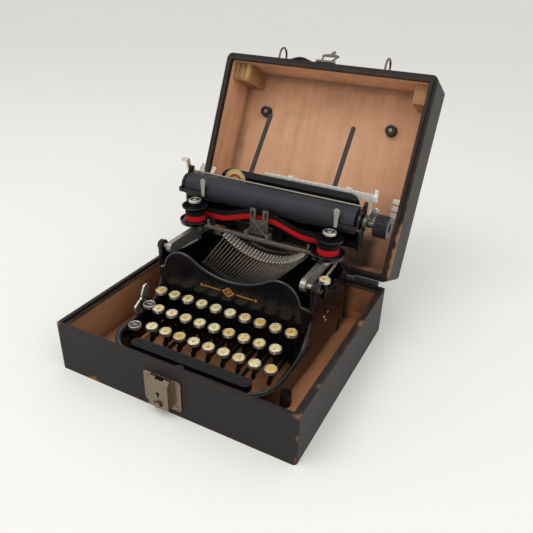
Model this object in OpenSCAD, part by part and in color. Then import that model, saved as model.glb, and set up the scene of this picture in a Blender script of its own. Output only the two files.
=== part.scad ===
// Folding portable typewriter standing in its open carrying case.
// Millimetres. The origin is the centre of the case bottom. X is right, Y is back, Z is up.
// The lid is drawn open and the carriage is drawn up, as the machine is used.

/* [Carrying case] */
// outer width of the case
case_w = 290; // [284:1:310]
// outer depth of the case, front to back
case_d = 254; // [250:1:276]
// outer height of the tray that the machine stands in
tray_h = 60; // [54:1:63]
// outer height of the lid
lid_h = 72; // [66:1:84]
// thickness of the wooden walls
wall = 9; // [7:0.5:10]
// thickness of the tray bottom
floor_t = 8; // [6:0.5:10]
// thickness of the lid top
lid_top = 8; // [6:0.5:10]
// radius of the upright outer edges of the tray
case_edge_r = 4; // [2:0.5:8]
// radius of the upright outer edges of the lid
lid_corner_r = 8; // [4:0.5:8.5]
// radius of the outer edges round the lid top
lid_edge_r = 9; // [4:0.5:14]
// height of the tongue and groove along the rim
rim_step = 4; // [2:0.5:6]
// angle that the lid stands open, measured from closed
lid_open = 114; // [104:1:120]
// middle of the lock, hasp and handle, from the case middle
lock_x = -4; // [-8:1:8]
// half the distance between the two handle loops
loop_x = 75; // [65:1:85]

/* [Typewriter frame] */
// middle of the machine, from the case middle
machine_x = 3; // [0:1:5]
// half the outer width of the base casting
frame_hw = 100; // [99:0.5:104]
// wall thickness of the base casting
frame_t = 5; // [4.5:0.25:5.5]
// height of the rubber feet
foot_h = 6; // [5:0.5:7]
// height of the keyboard rim above the tray bottom
ring_top = 34; // [31:0.5:34.5]
// gap between the keyboard rim's front and the tray wall
ring_gap = 6; // [5:0.5:9]
// radius of the keyboard rim's front corners
ring_r = 38; // [34:1:44]
// height of the two humps of the front panel
hump_top = 107; // [104:0.5:108]
// height of the front panel at its dip
panel_dip = 88; // [84:0.5:92]
// height of the carriage hinge
fold_z = 104; // [103.5:0.25:106]

/* [Keyboard] */
// distance between neighbouring keys of a row
key_pitch = 18.7; // [18.4:0.1:18.9]
// radius of a key top
key_r = 7; // [6.5:0.1:7.5]
// height of the back row of key tops
key_top_z = 60; // [58:0.5:62]
// drop from one key row to the next
row_drop = 10; // [9:0.5:10.5]
// distance from one key row to the next
row_gap = 21; // [20:0.25:21.5]
// half the length of the space bar
space_hw = 74; // [66:1:78]

/* [Type basket] */
// number of typebars
bar_count = 28; // [20:1:28]
// radius of the arc that the typebars hang on
seg_r = 78; // [77:0.5:79]
// angle between neighbouring typebars
seg_step = 3.4; // [3.3:0.05:3.5]
// backward tilt of the type segment
seg_tilt = 13; // [12:0.5:14]

/* [Carriage] */
// radius of the rubber platen
platen_r = 15; // [14:0.25:15.5]
// half the length of the rubber platen
platen_hw = 110; // [106:0.5:111]
// height of the platen's axis
platen_z = 152; // [151.5:0.25:154]
// radius of the platen knob
knob_r = 12.5; // [10:0.5:13]
// length of the platen knob
knob_l = 15; // [12:0.5:16]
// outer radius of a ribbon spool
spool_r = 16; // [15:0.25:16.5]
// length of a paper rest
rest_l = 95; // [80:1:98]
// angle of the paper rests above level
rest_lean = 51; // [47:1:56]

/* [Fits] */
// gap all round a pin that turns in a bore
run_gap = 0.06; // [0.04:0.01:0.1]
// gap beside parts that slide on each other
slide_gap = 0.35; // [0.3:0.05:0.5]
// gap between glued or screwed parts
seat_gap = 0.05; // [0.03:0.01:0.1]

/* [Hidden] */
$fn = 48;
wood = [0.12, 0.11, 0.11];
enamel = [0.05, 0.05, 0.05];
nickel = [0.75, 0.74, 0.71];
rubber = [0.1, 0.1, 0.1];
leather = [0.13, 0.12, 0.15];
steel = [0.6, 0.6, 0.6];
cream = [0.85, 0.75, 0.5];
red = [0.75, 0.1, 0.08];

// case: hinge line, inside sizes and front face
front_y = -case_d / 2;
back_y = case_d / 2;
in_w = case_w - 2 * wall;
in_d = case_d - 2 * wall;
hinge_y = back_y + 4;
hinge_z = tray_h;
hinge_x = 85;
knuckle_r = 3.4;
lid_floor = tray_h + lid_h - lid_top;
loop_z = tray_h + lid_h / 2;
hasp_z = tray_h + 9;
hasp_y = front_y - 3.4;
lock_top = tray_h - 14;

// machine: heights are measured from the tray bottom
ring_front = in_d / 2 - ring_gap;
panel_y = -12;
panel_t = 4;
panel_low = 44;
frame_back = 98;
fold_y = 2;
fold_r = 3;
arm_x = frame_hw - 18;
arm_t = 6;
arm_h = 14;
arm_low = fold_z - arm_h / 2;
arm_back = 94;
hump_r = 24;
hump_x = frame_hw - 38;
shoulder_r = 14;

// keyboard: three rows, and one lever for each key at an even pitch;
// it spreads with the casting's width, and its rows with the rim's depth
spread = frame_hw / 100;
row_step = row_gap * ring_front / 112;
fulcrum_y = 74;
fulcrum_z = 22;
fulcrum_r = 2;
lever_t = 1.6;
lever_low = 19;
lever_high = 25;
row_y = [-24, -24 - row_step, -24 - 2 * row_step];
row_z = [key_top_z, key_top_z - row_drop, key_top_z - 2 * row_drop];
row_x = [-83.55, -72.7, -66.8];
lever_pitch = key_pitch / 3;
cap_h = 4;
shift_r = 7.2;
cap_key = [-87.4 * spread, row_y[1] + 2, key_top_z - row_drop];
fig_key = [-85 * spread, row_y[2] - 7, key_top_z - 2 * row_drop];
cap_lever_x = -87 * spread;
fig_lever_x = -91.5 * spread;
space_y = -ring_front + 21;
space_half = space_hw * spread;
space_d = 14;
space_top = 34;
space_arms = [-40.6 * spread, 52.9 * spread];
back_x = frame_hw + 0.5;
back_y0 = 20;
back_pin = [60, 70];

// type basket and carriage
platen_y = 82;
print_y = platen_y - platen_r;
print_z = platen_z - 2;
bar_len = seg_r - 2;
seg_half = seg_step * (bar_count - 1) / 2 + 4;
wire_r = 0.85;
spool_x = arm_x + 6;
spool_y = 57;
spool_z = arm_low + arm_h + 3.5;
rail_y = 80;
rail_w = 8;
rail_z = spool_z + 4.5;
plate_t = 3;
plate_x = platen_hw + 3;
shaft_r = 4;
drum = [-50, 111];
drum_r = 15;
rest_y = 105.5;
rest_z = platen_z + 6;

// shared shapes

// a rectangle with round corners, drawn from squares and circles
module round_rect(w, d, r) {
    square([w - 2 * r, d], center = true);
    square([w, d - 2 * r], center = true);
    for (sx = [-1, 1])
        for (sy = [-1, 1])
            translate([sx * (w / 2 - r), sy * (d / 2 - r)])
                circle(r);
}

// a flat shape drawn in Y and Z, run along X
module along_x(x0, x1)
    translate([x0, 0, 0])
        rotate([90, 0, 90])
            linear_extrude(x1 - x0)
                children();

// a flat shape drawn in X and Z, run along Y
module along_y(y0, y1)
    translate([0, y1, 0])
        rotate([90, 0, 0])
            linear_extrude(y1 - y0)
                children();

// a flat shape drawn in X and Y, run along Z
module along_z(z0, z1)
    translate([0, 0, z0])
        linear_extrude(z1 - z0)
            children();

// a box between two corners
module box(a, b)
    translate(a)
        cube(b - a);

// a round rod along X
module rod_x(r, x0, x1, y, z)
    translate([x0, y, z])
        rotate([0, 90, 0])
            cylinder(r = r, h = x1 - x0);

// a round rod along Y
module rod_y(r, y0, y1, x, z)
    translate([x, y1, z])
        rotate([90, 0, 0])
            cylinder(r = r, h = y1 - y0);

// the machine's own frame: its zero is on the tray bottom
module machine()
    translate([machine_x, 0, floor_t])
        children();

// turns a lid piece, drawn closed, to the open lid
module lid_pose()
    translate([0, hinge_y, hinge_z])
        rotate([-lid_open, 0, 0])
            translate([0, -hinge_y, -hinge_z])
                children();

// carrying case

// the tray: floor, four walls and a groove along the inside of the rim
module case_tray() color(wood)
    difference() {
        along_z(0, tray_h)
            round_rect(case_w, case_d, case_edge_r);
        along_z(floor_t, tray_h + 1)
            square([in_w, in_d], center = true);
        along_z(tray_h - rim_step, tray_h + 1)
            square([in_w + wall, in_d + wall], center = true);
    }

// a flat leaf with its web, below the hinge line when side is -1 and above it when side is 1
module hinge_leaf(half, side) {
    z0 = side < 0 ? hinge_z - 22 : hinge_z + 3.8;
    box([-17, back_y + seat_gap, z0], [17, back_y + 1.5, z0 + 18.2]);
    for (x = half)
        box([x[0], back_y + seat_gap, side < 0 ? hinge_z - 6 : hinge_z],
            [x[1], back_y + 4, side < 0 ? hinge_z : hinge_z + 6]);
}

// the two hinge leaves on the tray, with their fixed pins
module tray_hinges() color(nickel)
    for (s = [-1, 1])
        translate([s * hinge_x, 0, 0]) {
            hinge_leaf([[-17, -6], [6, 17]], -1);
            rod_x(knuckle_r, -17, -6, hinge_y, hinge_z);
            rod_x(knuckle_r, 6, 17, hinge_y, hinge_z);
            rod_x(1.5, -7, 7, hinge_y, hinge_z);
        }

// the lock on the tray front: a plate, a box with a sloped top, a slot and a keyhole
module lock_case() color(nickel)
    translate([lock_x, 0, 0])
        difference() {
            union() {
                along_y(front_y - 1.5, front_y - seat_gap)
                    translate([0, lock_top - 19])
                        round_rect(45, 38, 3);
                along_x(-12, 12)
                    polygon([[front_y - 1, lock_top - 35], [front_y - 9, lock_top - 35],
                        [front_y - 9, lock_top - 5], [front_y - 5, lock_top],
                        [front_y - 1, lock_top]]);
            }
            box([-5, front_y - 6.2, lock_top - 13], [5, front_y - 1.6, lock_top + 1]);
            rod_y(2.2, front_y - 10, front_y - 6, 0, lock_top - 17);
            box([-0.9, front_y - 10, lock_top - 22], [0.9, front_y - 6, lock_top - 17]);
            box([-5.2, front_y - 10, lock_top - 31.9], [5.2, front_y - 5, lock_top - 28.1]);
            for (x = [-18, 18])
                for (z = [lock_top - 6, lock_top - 32])
                    rod_y(1.4, front_y - 3, front_y, x, z);
        }

// the round sliding button of the lock
module lock_button() color(nickel)
    translate([lock_x, 0, 0]) {
        rod_y(1.5, front_y - 9.4, front_y - 5.4, 0, lock_top - 30);
        rod_y(3.4, front_y - 11.8, front_y - 9.4, 0, lock_top - 30);
    }

// the lid's shell outline with round top edges
module lid_block()
    intersection() {
        along_z(tray_h, tray_h + lid_h)
            round_rect(case_w, case_d, lid_corner_r);
        along_y(front_y - 1, back_y + 1)
            translate([0, tray_h])
                round_rect(case_w, 2 * lid_h, lid_edge_r);
        along_x(-case_w / 2 - 1, case_w / 2 + 1)
            translate([0, tray_h])
                round_rect(case_d, 2 * lid_h, lid_edge_r);
    }

// the lid: hollow shell, rim tongue, and a wooden block in each front corner
module case_lid() color(wood)
    lid_pose() {
        difference() {
            lid_block();
            along_z(tray_h - 1, lid_floor)
                square([in_w, in_d], center = true);
        }
        along_z(tray_h - rim_step + slide_gap, tray_h + 3)
            difference() {
                square([in_w + wall - 2 * slide_gap, in_d + wall - 2 * slide_gap], center = true);
                square([in_w, in_d], center = true);
            }
        difference() {
            box([-in_w / 2 + 0.1, -in_d / 2 + 0.1, tray_h + 12],
                [-in_w / 2 + 25, -in_d / 2 + 23, lid_floor - 0.1]);
            for (x = [9, 17])
                box([-in_w / 2 + x, -in_d / 2 + 5, tray_h + 11],
                    [-in_w / 2 + x + 2, -in_d / 2 + 24, tray_h + 20]);
        }
        box([in_w / 2 - 18, -in_d / 2 + 0.1, tray_h + 12],
            [in_w / 2 - 0.1, -in_d / 2 + 24, lid_floor - 0.1]);
    }

// a wire loop of the handle, on its plate
module handle_loop() {
    along_y(front_y - 1.5, front_y - seat_gap)
        translate([0, loop_z])
            round_rect(9, 30, 3);
    for (s = [-1, 1])
        rod_y(1.4, front_y - 12, front_y - 1, 0, loop_z + s * 11);
    translate([0, front_y - 12, loop_z])
        rotate([0, 90, 0])
            rotate([0, 0, 180])
                rotate_extrude(angle = 180)
                    translate([11, 0])
                        circle(1.4);
}

// hinge leaves, handle loops and the hasp's hinge plate on the lid
module lid_fittings() color(nickel)
    lid_pose() {
        for (s = [-1, 1])
            translate([s * hinge_x, 0, 0])
                difference() {
                    union() {
                        hinge_leaf([[-5.6, 5.6]], 1);
                        rod_x(knuckle_r, -5.6, 5.6, hinge_y, hinge_z);
                    }
                    rod_x(1.5 + run_gap, -6, 6, hinge_y, hinge_z);
                }
        for (s = [-1, 1])
            translate([lock_x + s * loop_x, 0, 0])
                handle_loop();
        translate([lock_x, 0, 0]) {
            box([-13, front_y - 1.5, hasp_z + 3], [13, front_y - seat_gap, hasp_z + 15]);
            for (s = [-1, 1])
                translate([s * 10, 0, 0]) {
                    box([-3, front_y - 3.4, hasp_z], [3, front_y - seat_gap, hasp_z + 4]);
                    rod_x(2.4, -3, 3, hasp_y, hasp_z);
                }
            rod_x(1.2, -10, 10, hasp_y, hasp_z);
        }
    }

// two rubber buffers on the lid's inside, each with its screw
module lid_buffers() color(rubber)
    lid_pose()
        for (s = [-1, 1])
            translate([lock_x - 1 + s * 93.5, -65, lid_floor]) {
                difference() {
                    translate([0, 0, -9])
                        cylinder(r1 = 6.8, r2 = 8, h = 9 - seat_gap);
                    translate([0, 0, -10])
                        cylinder(r = 3.6, h = 4);
                    translate([0, 0, -10])
                        cylinder(r = 1.8, h = 11);
                }
                translate([0, 0, -8])
                    cylinder(r = 3.4, h = 1.9);
                translate([0, 0, -6.2])
                    cylinder(r = 1.6, h = 6);
            }

// the three-fingered spring clip on the lid's right wall
module accessory_clip() color(nickel)
    lid_pose() {
        box([in_w / 2 - 1.2, 20, tray_h + 4], [in_w / 2 - seat_gap, 52, tray_h + 16]);
        for (y = [27, 36, 45]) {
            box([in_w / 2 - 10, y - 3, tray_h + 8], [in_w / 2 - 1, y + 3, tray_h + 9.2]);
            translate([in_w / 2 - 10, y - 3, tray_h + 9.4])
                rotate([-90, 0, 0])
                    cylinder(r = 1.4, h = 6);
        }
    }

// the hasp: two legs, a cross plate and a tongue, drawn hanging and then turned out
module lock_hasp() color(nickel)
    lid_pose()
        translate([lock_x, hasp_y, hasp_z])
            rotate([-140, 0, 0])
                difference() {
                    union() {
                        rod_x(2.4, -6.7, 6.7, 0, 0);
                        for (s = [-1, 1])
                            box([s * 5.2 - 1.5, -1, -17], [s * 5.2 + 1.5, 1, 0]);
                        box([-12, -1, -24], [12, 1, -16]);
                        box([-3.5, -1, -33], [3.5, 1, -23]);
                    }
                    rod_x(1.2 + run_gap, -8, 8, 0, 0);
                    rod_y(1.8, -2, 2, 0, -29);
                }

// the leather strap handle, threaded through both loops
module carry_handle() color(leather)
    lid_pose()
        translate([lock_x, 0, loop_z]) {
            along_z(-9, 9) {
                translate([-loop_x - 16, front_y - 5.4])
                    square([2 * loop_x + 32, 3.2]);
                for (s = [-1, 1])
                    translate([s * (loop_x + 12), front_y - 5.4])
                        round_rect(14, 6, 2.9);
            }
        }

// base of the machine

// a plan that is straight at the back and round at its two front corners
module front_round_plan(hw, y0, y1, r) {
    translate([-hw, y0 + r])
        square([2 * hw, y1 - y0 - r]);
    translate([r - hw, y0])
        square([2 * (hw - r), r + 1]);
    for (s = [-1, 1])
        translate([s * (hw - r), y0 + r])
            circle(r);
}

// the keyboard rim, a band that is open at the back
module ring_band(grow, z0, z1)
    along_z(z0, z1)
        difference() {
            front_round_plan(frame_hw + grow, -ring_front - grow, panel_y + panel_t + 10, ring_r + grow);
            front_round_plan(frame_hw - frame_t, -ring_front + frame_t, panel_y + panel_t + 11,
                ring_r - frame_t);
        }

// the front panel seen from the front: two humps, a dip and round shoulders
module panel_face() {
    dip_z = hump_top - hump_r + sqrt(pow(hump_r, 2) - pow(16, 2)) - panel_dip;
    dip_x = hump_x - 16;
    dip_r = (dip_x * dip_x + dip_z * dip_z) / (2 * dip_z);
    low = hump_top - hump_r;
    difference() {
        union() {
            translate([-frame_hw, panel_low])
                square([2 * frame_hw, low - shoulder_r - panel_low]);
            translate([shoulder_r - frame_hw, low - shoulder_r - 1])
                square([2 * (frame_hw - shoulder_r), shoulder_r + 1]);
            translate([-dip_x, low - 1])
                square([2 * dip_x, panel_dip + dip_z - low + 1]);
            for (s = [-1, 1]) {
                translate([s * (frame_hw - shoulder_r), low - shoulder_r])
                    circle(shoulder_r);
                translate([s * hump_x, low])
                    circle(hump_r);
            }
        }
        translate([0, panel_dip + dip_r])
            circle(dip_r);
    }
}

// a side wall seen from the side, with the ear of the carriage hinge and the rear post
module side_face() {
    polygon([[-4, foot_h], [frame_back, foot_h], [frame_back, 68], [arm_back, arm_low - 0.3],
        [82, arm_low - 0.3], [78, 80], [40, 84], [14, 90], [9, 92], [fold_y + 6, fold_z],
        [fold_y - 6, fold_z]]);
    translate([fold_y, fold_z])
        circle(6.5);
}

// the sweep from the keyboard rim up to the panel, seen from the side
module side_sweep()
    difference() {
        translate([-44, ring_top - 4])
            square([48, 46]);
        translate([-44, ring_top + 42])
            circle(42);
    }

// the base casting: keyboard rim, front panel, side walls, rear wall and lugs
module base_frame() color(enamel)
    machine()
        difference() {
            union() {
                ring_band(0, foot_h, ring_top);
                ring_band(1.2, ring_top - 3, ring_top);
                intersection() {
                    along_z(foot_h, fold_z + 20)
                        difference() {
                            front_round_plan(frame_hw, panel_y, 30, 14);
                            front_round_plan(frame_hw - frame_t, panel_y + panel_t, 31, 10);
                        }
                    along_y(panel_y - 1, 6)
                        panel_face();
                }
                for (s = [-1, 1])
                    along_x(s * (frame_hw - frame_t / 2) - frame_t / 2,
                        s * (frame_hw - frame_t / 2) + frame_t / 2) {
                        side_face();
                        side_sweep();
                    }
                box([-frame_hw + 1, frame_back - 5, foot_h], [frame_hw - 1, frame_back, 32]);
                for (s = [-1, 1])
                    translate([s * (frame_hw - frame_t / 2), 0, 0])
                        mirror([s > 0 ? 1 : 0, 0, 0])
                            box([-1, 84, arm_low - 7], [frame_hw - arm_x - frame_t / 2, 92, arm_low - 0.3]);
                for (p = foot_points)
                    translate([p[0], p[1], foot_h])
                        cylinder(r = 7, h = 9);
                translate([0, -ring_front + 3.5, foot_h])
                    cylinder(r = 5, h = ring_top + 3 - foot_h);
                rod_x(3, frame_hw - 1, frame_hw + 4, back_pin[0], back_pin[1]);
                along_x(-frame_hw, -frame_hw + frame_t) {
                    translate([-41, ring_top - 4])
                        square([10, 16]);
                    translate([-36, ring_top + 12])
                        circle(5);
                }
                rod_x(2.5, -frame_hw - 4, -frame_hw + 1, -36, ring_top + 12);
            }
            for (s = [-1, 1])
                translate([s * frame_hw, 0, 0])
                    rod_x(fold_r + run_gap, -9, 9, fold_y, fold_z);
            rod_x(fulcrum_r + seat_gap, -frame_hw + 2, frame_hw - 2, fulcrum_y, fulcrum_z);
        }

// where the four feet stand
foot_points = [[-frame_hw, -66], [frame_hw, -66], [-frame_hw + 6, 86], [frame_hw - 6, 86]];

// four rubber feet under the lugs
module rubber_feet() color(rubber)
    machine()
        for (p = foot_points)
            translate([p[0], p[1], 0])
                difference() {
                    union() {
                        cylinder(r1 = 6.4, r2 = 7.6, h = foot_h - seat_gap);
                    }
                    translate([0, 0, -1])
                        cylinder(r = 3, h = 3);
                }

// the x place of a key's lever, at an even pitch over all three rows
function lever_x(row, col) = ((3 * col + row - 13.5) * lever_pitch + 3) * spread;
// the x place of a key top
function key_x(row, col) = (row_x[row] + 84.15 - 13.5 * lever_pitch + col * key_pitch) * spread;

// the pivot rod of all key levers, and the slotted guide comb behind the panel
module key_fulcrum() color(steel)
    machine() {
        rod_x(fulcrum_r, -frame_hw + 2.5, frame_hw - 2.5, fulcrum_y, fulcrum_z);
        difference() {
            box([-frame_hw + frame_t + 0.2, -6, foot_h + 2], [frame_hw - frame_t - 0.2, -4.5, 41]);
            for (row = [0 : 2])
                for (col = [0 : row == 0 ? 9 : 8])
                    translate([lever_x(row, col), 0, 0])
                        box([-1.2, -7, 0], [1.2, -3, lever_high + 3]);
            for (x = concat(space_arms, [cap_lever_x, fig_lever_x]))
                translate([x, 0, 0])
                    box([-1.2, -7, 0], [1.2, -3, lever_high + 3]);
        }
    }

// places a piece at the point on the platen where all types strike
module at_print_point()
    machine()
        translate([0, print_y, print_z])
            rotate([seg_tilt, 0, 0])
                children();

// an arc in the segment's plane, below the print point
module segment_arc(half)
    rotate([90, 0, 0])
        rotate([0, 0, 270 - half])
            rotate_extrude(angle = 2 * half)
                children();

// the slotted arc that carries the typebars, its cross plate and its pivot wire
module type_segment() color(steel)
    at_print_point() {
        difference() {
            union() {
                segment_arc(seg_half)
                    translate([seg_r - 5, -6])
                        square([11, 9]);
                along_y(5.8, 10)
                    difference() {
                        translate([-frame_hw + frame_t + 0.3, -seg_r - 14])
                            square([2 * (frame_hw - frame_t - 0.3), 26]);
                        circle(seg_r - 7);
                    }
            }
            for (i = [0 : bar_count - 1])
                rotate([0, (i - (bar_count - 1) / 2) * seg_step, 0])
                    box([-0.95, -4, -seg_r - 4], [0.95, 4, -seg_r + 6]);
            rotate([90, 0, 0])
                rotate_extrude()
                    translate([seg_r, 0])
                        circle(wire_r + 0.1);
        }
        segment_arc(seg_half - 0.5)
            translate([seg_r, 0])
                circle(wire_r);
    }

// one typebar: hub with pivot bore, tapered bar and type block
module typebar()
    difference() {
        union() {
            along_x(-0.7, 0.7) {
                circle(3.1);
                polygon([[0, -2], [0, 2], [-bar_len + 1, 1.3], [-bar_len + 1, -1.3]]);
            }
            box([-1.3, -bar_len, -1.4], [1.3, -bar_len + 6.5, 3.4]);
        }
        rod_x(wire_r + 0.1, -2, 2, 0, 0);
    }

// all typebars, lying at rest
module typebars() color(steel)
    at_print_point()
        for (i = [0 : bar_count - 1])
            rotate([0, (i - (bar_count - 1) / 2) * seg_step, 0])
                translate([0, 0, -seg_r])
                    rotate([-seg_tilt, 0, 0])
                        typebar();

// keyboard

// a key lever with its stem: lx is the lever's x, k is the key top's x, y and z
module key_lever(lx, k) {
    difference() {
        along_x(lx - lever_t / 2, lx + lever_t / 2) {
            translate([k[1] - 2.5, lever_low])
                square([fulcrum_y - k[1] + 2.5, lever_high - lever_low]);
            translate([fulcrum_y, fulcrum_z])
                circle(5);
        }
        rod_x(fulcrum_r + run_gap, lx - 2, lx + 2, fulcrum_y, fulcrum_z);
    }
    box([min(lx, k[0]) - 0.8, k[1] - 2.5, lever_low], [max(lx, k[0]) + 0.8, k[1] + 2.5, lever_high]);
    box([k[0] - 1, k[1] - 2.5, lever_low], [k[0] + 1, k[1] + 2.5, k[2] - cap_h - 0.5]);
    translate([k[0], k[1], k[2] - cap_h - 1.2])
        cylinder(r = 3.6, h = 1.2);
}

// a round key top: a metal cup with a rolled rim, and the disc set in it
module key_cap(k, r)
    translate([k[0], k[1], k[2] - cap_h + seat_gap]) {
        rotate_extrude() {
            square([r - 0.5, 0.9]);
            translate([r - 1.1, 0])
                square([1.1, cap_h - 0.6]);
            translate([r - 0.55, cap_h - 0.6])
                circle(0.55);
        }
        translate([0, 0, 0.9 + seat_gap])
            cylinder(r = r - 1.1 - seat_gap, h = cap_h - 2);
    }

// one letter key, placed by its row and column
module letter_key(row, col) {
    top = [key_x(row, col), row_y[row], row_z[row]];
    machine() {
        key_lever(lever_x(row, col), top);
        key_cap(top, key_r);
    }
}

module key_q() color(cream) letter_key(0, 0);
module key_w() color(cream) letter_key(0, 1);
module key_e() color(cream) letter_key(0, 2);
module key_r() color(cream) letter_key(0, 3);
module key_t() color(cream) letter_key(0, 4);
module key_y() color(cream) letter_key(0, 5);
module key_u() color(cream) letter_key(0, 6);
module key_i() color(cream) letter_key(0, 7);
module key_o() color(cream) letter_key(0, 8);
module key_p() color(cream) letter_key(0, 9);
module key_a() color(cream) letter_key(1, 0);
module key_s() color(cream) letter_key(1, 1);
module key_d() color(cream) letter_key(1, 2);
module key_f() color(cream) letter_key(1, 3);
module key_g() color(cream) letter_key(1, 4);
module key_h() color(cream) letter_key(1, 5);
module key_j() color(cream) letter_key(1, 6);
module key_k() color(cream) letter_key(1, 7);
module key_l() color(cream) letter_key(1, 8);
module key_z() color(cream) letter_key(2, 0);
module key_x() color(cream) letter_key(2, 1);
module key_c() color(cream) letter_key(2, 2);
module key_v() color(cream) letter_key(2, 3);
module key_b() color(cream) letter_key(2, 4);
module key_n() color(cream) letter_key(2, 5);
module key_m() color(cream) letter_key(2, 6);
module key_comma() color(cream) letter_key(2, 7);
module key_stop() color(cream) letter_key(2, 8);

// the upper shift key, for capitals
module cap_shift_key() color(enamel)
    machine() {
        key_lever(cap_lever_x, cap_key);
        key_cap(cap_key, shift_r);
    }

// the lower shift key, for figures
module figure_shift_key() color(enamel)
    machine() {
        key_lever(fig_lever_x, fig_key);
        key_cap(fig_key, shift_r);
    }

// the space bar with its two long arms
module space_bar() color(enamel)
    machine() {
        along_z(space_top - 8, space_top)
            translate([0, space_y])
                round_rect(2 * space_half, space_d, space_d / 2 - 0.2);
        for (x = space_arms)
            difference() {
                along_x(x - lever_t / 2, x + lever_t / 2) {
                    translate([space_y, lever_low])
                        square([fulcrum_y - space_y, lever_high - lever_low]);
                    translate([space_y - 3, lever_low])
                        square([6, space_top - 7 - lever_low]);
                    translate([fulcrum_y, fulcrum_z])
                        circle(5);
                }
                rod_x(fulcrum_r + run_gap, x - 2, x + 2, fulcrum_y, fulcrum_z);
            }
    }

// the backspace key on its short lever, outside the right wall
module backspace_key() color(cream)
    machine() {
        difference() {
            along_x(frame_hw + 0.8, frame_hw + 3.4) {
                polygon([[back_pin[0], back_pin[1] - 5], [back_pin[0], back_pin[1] + 5],
                    [back_y0 + 3, 92], [back_y0 + 3, fold_z - 1.4], [back_y0 - 3, fold_z - 1.4],
                    [back_y0 - 3, 84]]);
                translate(back_pin)
                    circle(5);
            }
            rod_x(3 + run_gap, frame_hw, frame_hw + 6, back_pin[0], back_pin[1]);
        }
        translate([back_x, back_y0, fold_z - 2])
            cylinder(r = 4.5, h = 1);
        key_cap([back_x, back_y0, fold_z + 3], key_r - 0.5);
    }

// the wing-shaped shift lock outside the left wall
module shift_lock_lever() color(nickel)
    machine()
        translate([-frame_hw - 3.6, -36, ring_top + 12])
            difference() {
                along_x(0, 2.2) {
                    circle(5.5);
                    rotate(62)
                        translate([10.5, 0])
                            round_rect(19, 11, 5.3);
                    rotate(208)
                        translate([8.5, 0])
                            round_rect(17, 11, 5.3);
                }
                rod_x(2.5 + run_gap, -1, 4, 0, 0);
            }

// folding carriage support

// one ribbon platform with its post, on top of an arm
module spool_seat(s)
    translate([s * spool_x, spool_y, 0]) {
        translate([s * -3, 0, fold_z])
            cylinder(r = 6, h = spool_z - fold_z);
        translate([0, 0, spool_z])
            cylinder(r = 18, h = 2.5);
        translate([0, 0, spool_z])
            cylinder(r = 2.5, h = 26);
    }

// two arms on hinge pins, cross bars, rail shoes, ribbon platforms and the drum bracket
module fold_frame() color(nickel)
    machine() {
        difference() {
            union() {
                for (s = [-1, 1]) {
                    along_x(s * (arm_x + arm_t / 2) - arm_t / 2, s * (arm_x + arm_t / 2) + arm_t / 2) {
                        translate([fold_y, fold_z])
                            circle(arm_h / 2);
                        translate([fold_y, arm_low])
                            square([arm_back - fold_y, arm_h]);
                    }
                    translate([s * (arm_x + arm_t + 4), 0, 0])
                        rod_x(fold_r, -6, 6, fold_y, fold_z);
                    spool_seat(s);
                    translate([s * 15, 0, 0])
                        box([-6, 76, fold_z], [6, arm_back, rail_z + rail_w + 4]);
                    translate([s * (spool_x - 22), 52, spool_z - 1])
                        cylinder(r = 1.5, h = 11);
                    translate([s * 14, 0, 0])
                        box([-1.6, 50.5, spool_z - 1], [1.6, 61, spool_z + 8]);
                }
                box([-arm_x - 1, arm_back - 4, fold_z - 4], [arm_x + 1, arm_back, fold_z + 7]);
                box([13 - spool_x, 50.5, spool_z - 1], [spool_x - 13, 53.5, spool_z + 2.5]);
                box([drum[0] - 8, arm_back - 2, fold_z - 6], [drum[0] + 8, drum[1], fold_z - 3]);
                translate([drum[0], drum[1], fold_z - 6]) {
                    cylinder(r = 8, h = 3);
                    cylinder(r = 2.5, h = 17);
                }
            }
            box([-30, rail_y - slide_gap, rail_z - slide_gap],
                [30, rail_y + rail_w + slide_gap, rail_z + rail_w + slide_gap]);
        }
    }

// the inked ribbon, from spool to spool behind the vibrator
module ribbon() color(red)
    machine()
        for (s = [-1, 1])
            mirror([s > 0 ? 1 : 0, 0, 0])
                translate([-spool_x, spool_y + 12.5, spool_z + 11])
                    rotate([0, 0, atan2(-7, spool_x)])
                        rotate([0, -atan2(13, spool_x), 0])
                            box([0, 0, -6.3], [spool_x - 2.5, 0.4, 6.3]);

// the forked ribbon vibrator, which lifts the ribbon to the print line
module ribbon_vibrator() color(nickel)
    machine() {
        along_y(57.5, 59.5)
            difference() {
                union() {
                    translate([-12, spool_z + 9])
                        square([24, print_z - spool_z - 9]);
                    translate([-12, fold_z + 6])
                        square([24, 12]);
                    translate([-7, fold_z + 8])
                        square([14, 30]);
                }
                translate([-4.5, spool_z + 22])
                    square([9, 40]);
                for (s = [-1, 1])
                    translate([s * 8.6, spool_z + 28])
                        round_rect(2.4, 9, 1.1);
            }
        box([-12, 59, spool_z + 9], [12, 60.6, spool_z + 12]);
    }

// a spool: lower flange, wound ribbon, hub, upper flange and knob
module spool(s)
    machine()
        translate([s * spool_x, spool_y, spool_z + 2.5 + slide_gap])
            difference() {
                union() {
                    cylinder(r = spool_r - 1, h = 1.6);
                    cylinder(r = 12, h = 14.4);
                    cylinder(r = 8, h = 19);
                    translate([0, 0, 18])
                        cylinder(r = spool_r, h = 2);
                    cylinder(r = 4, h = 24);
                    translate([0, 0, 22.4])
                        cylinder(r1 = 6, r2 = 7, h = 1.6);
                    translate([0, 0, 24])
                        cylinder(r = 7, h = 3);
                }
                translate([0, 0, -1])
                    cylinder(r = 2.5 + run_gap, h = 25);
                for (a = [0 : 30 : 330])
                    rotate([0, 0, a])
                        translate([7.4, 0, 21])
                            cylinder(r = 0.9, h = 7);
            }

module spool_left() color(enamel) spool(-1);
module spool_right() color(enamel) spool(1);

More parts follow.
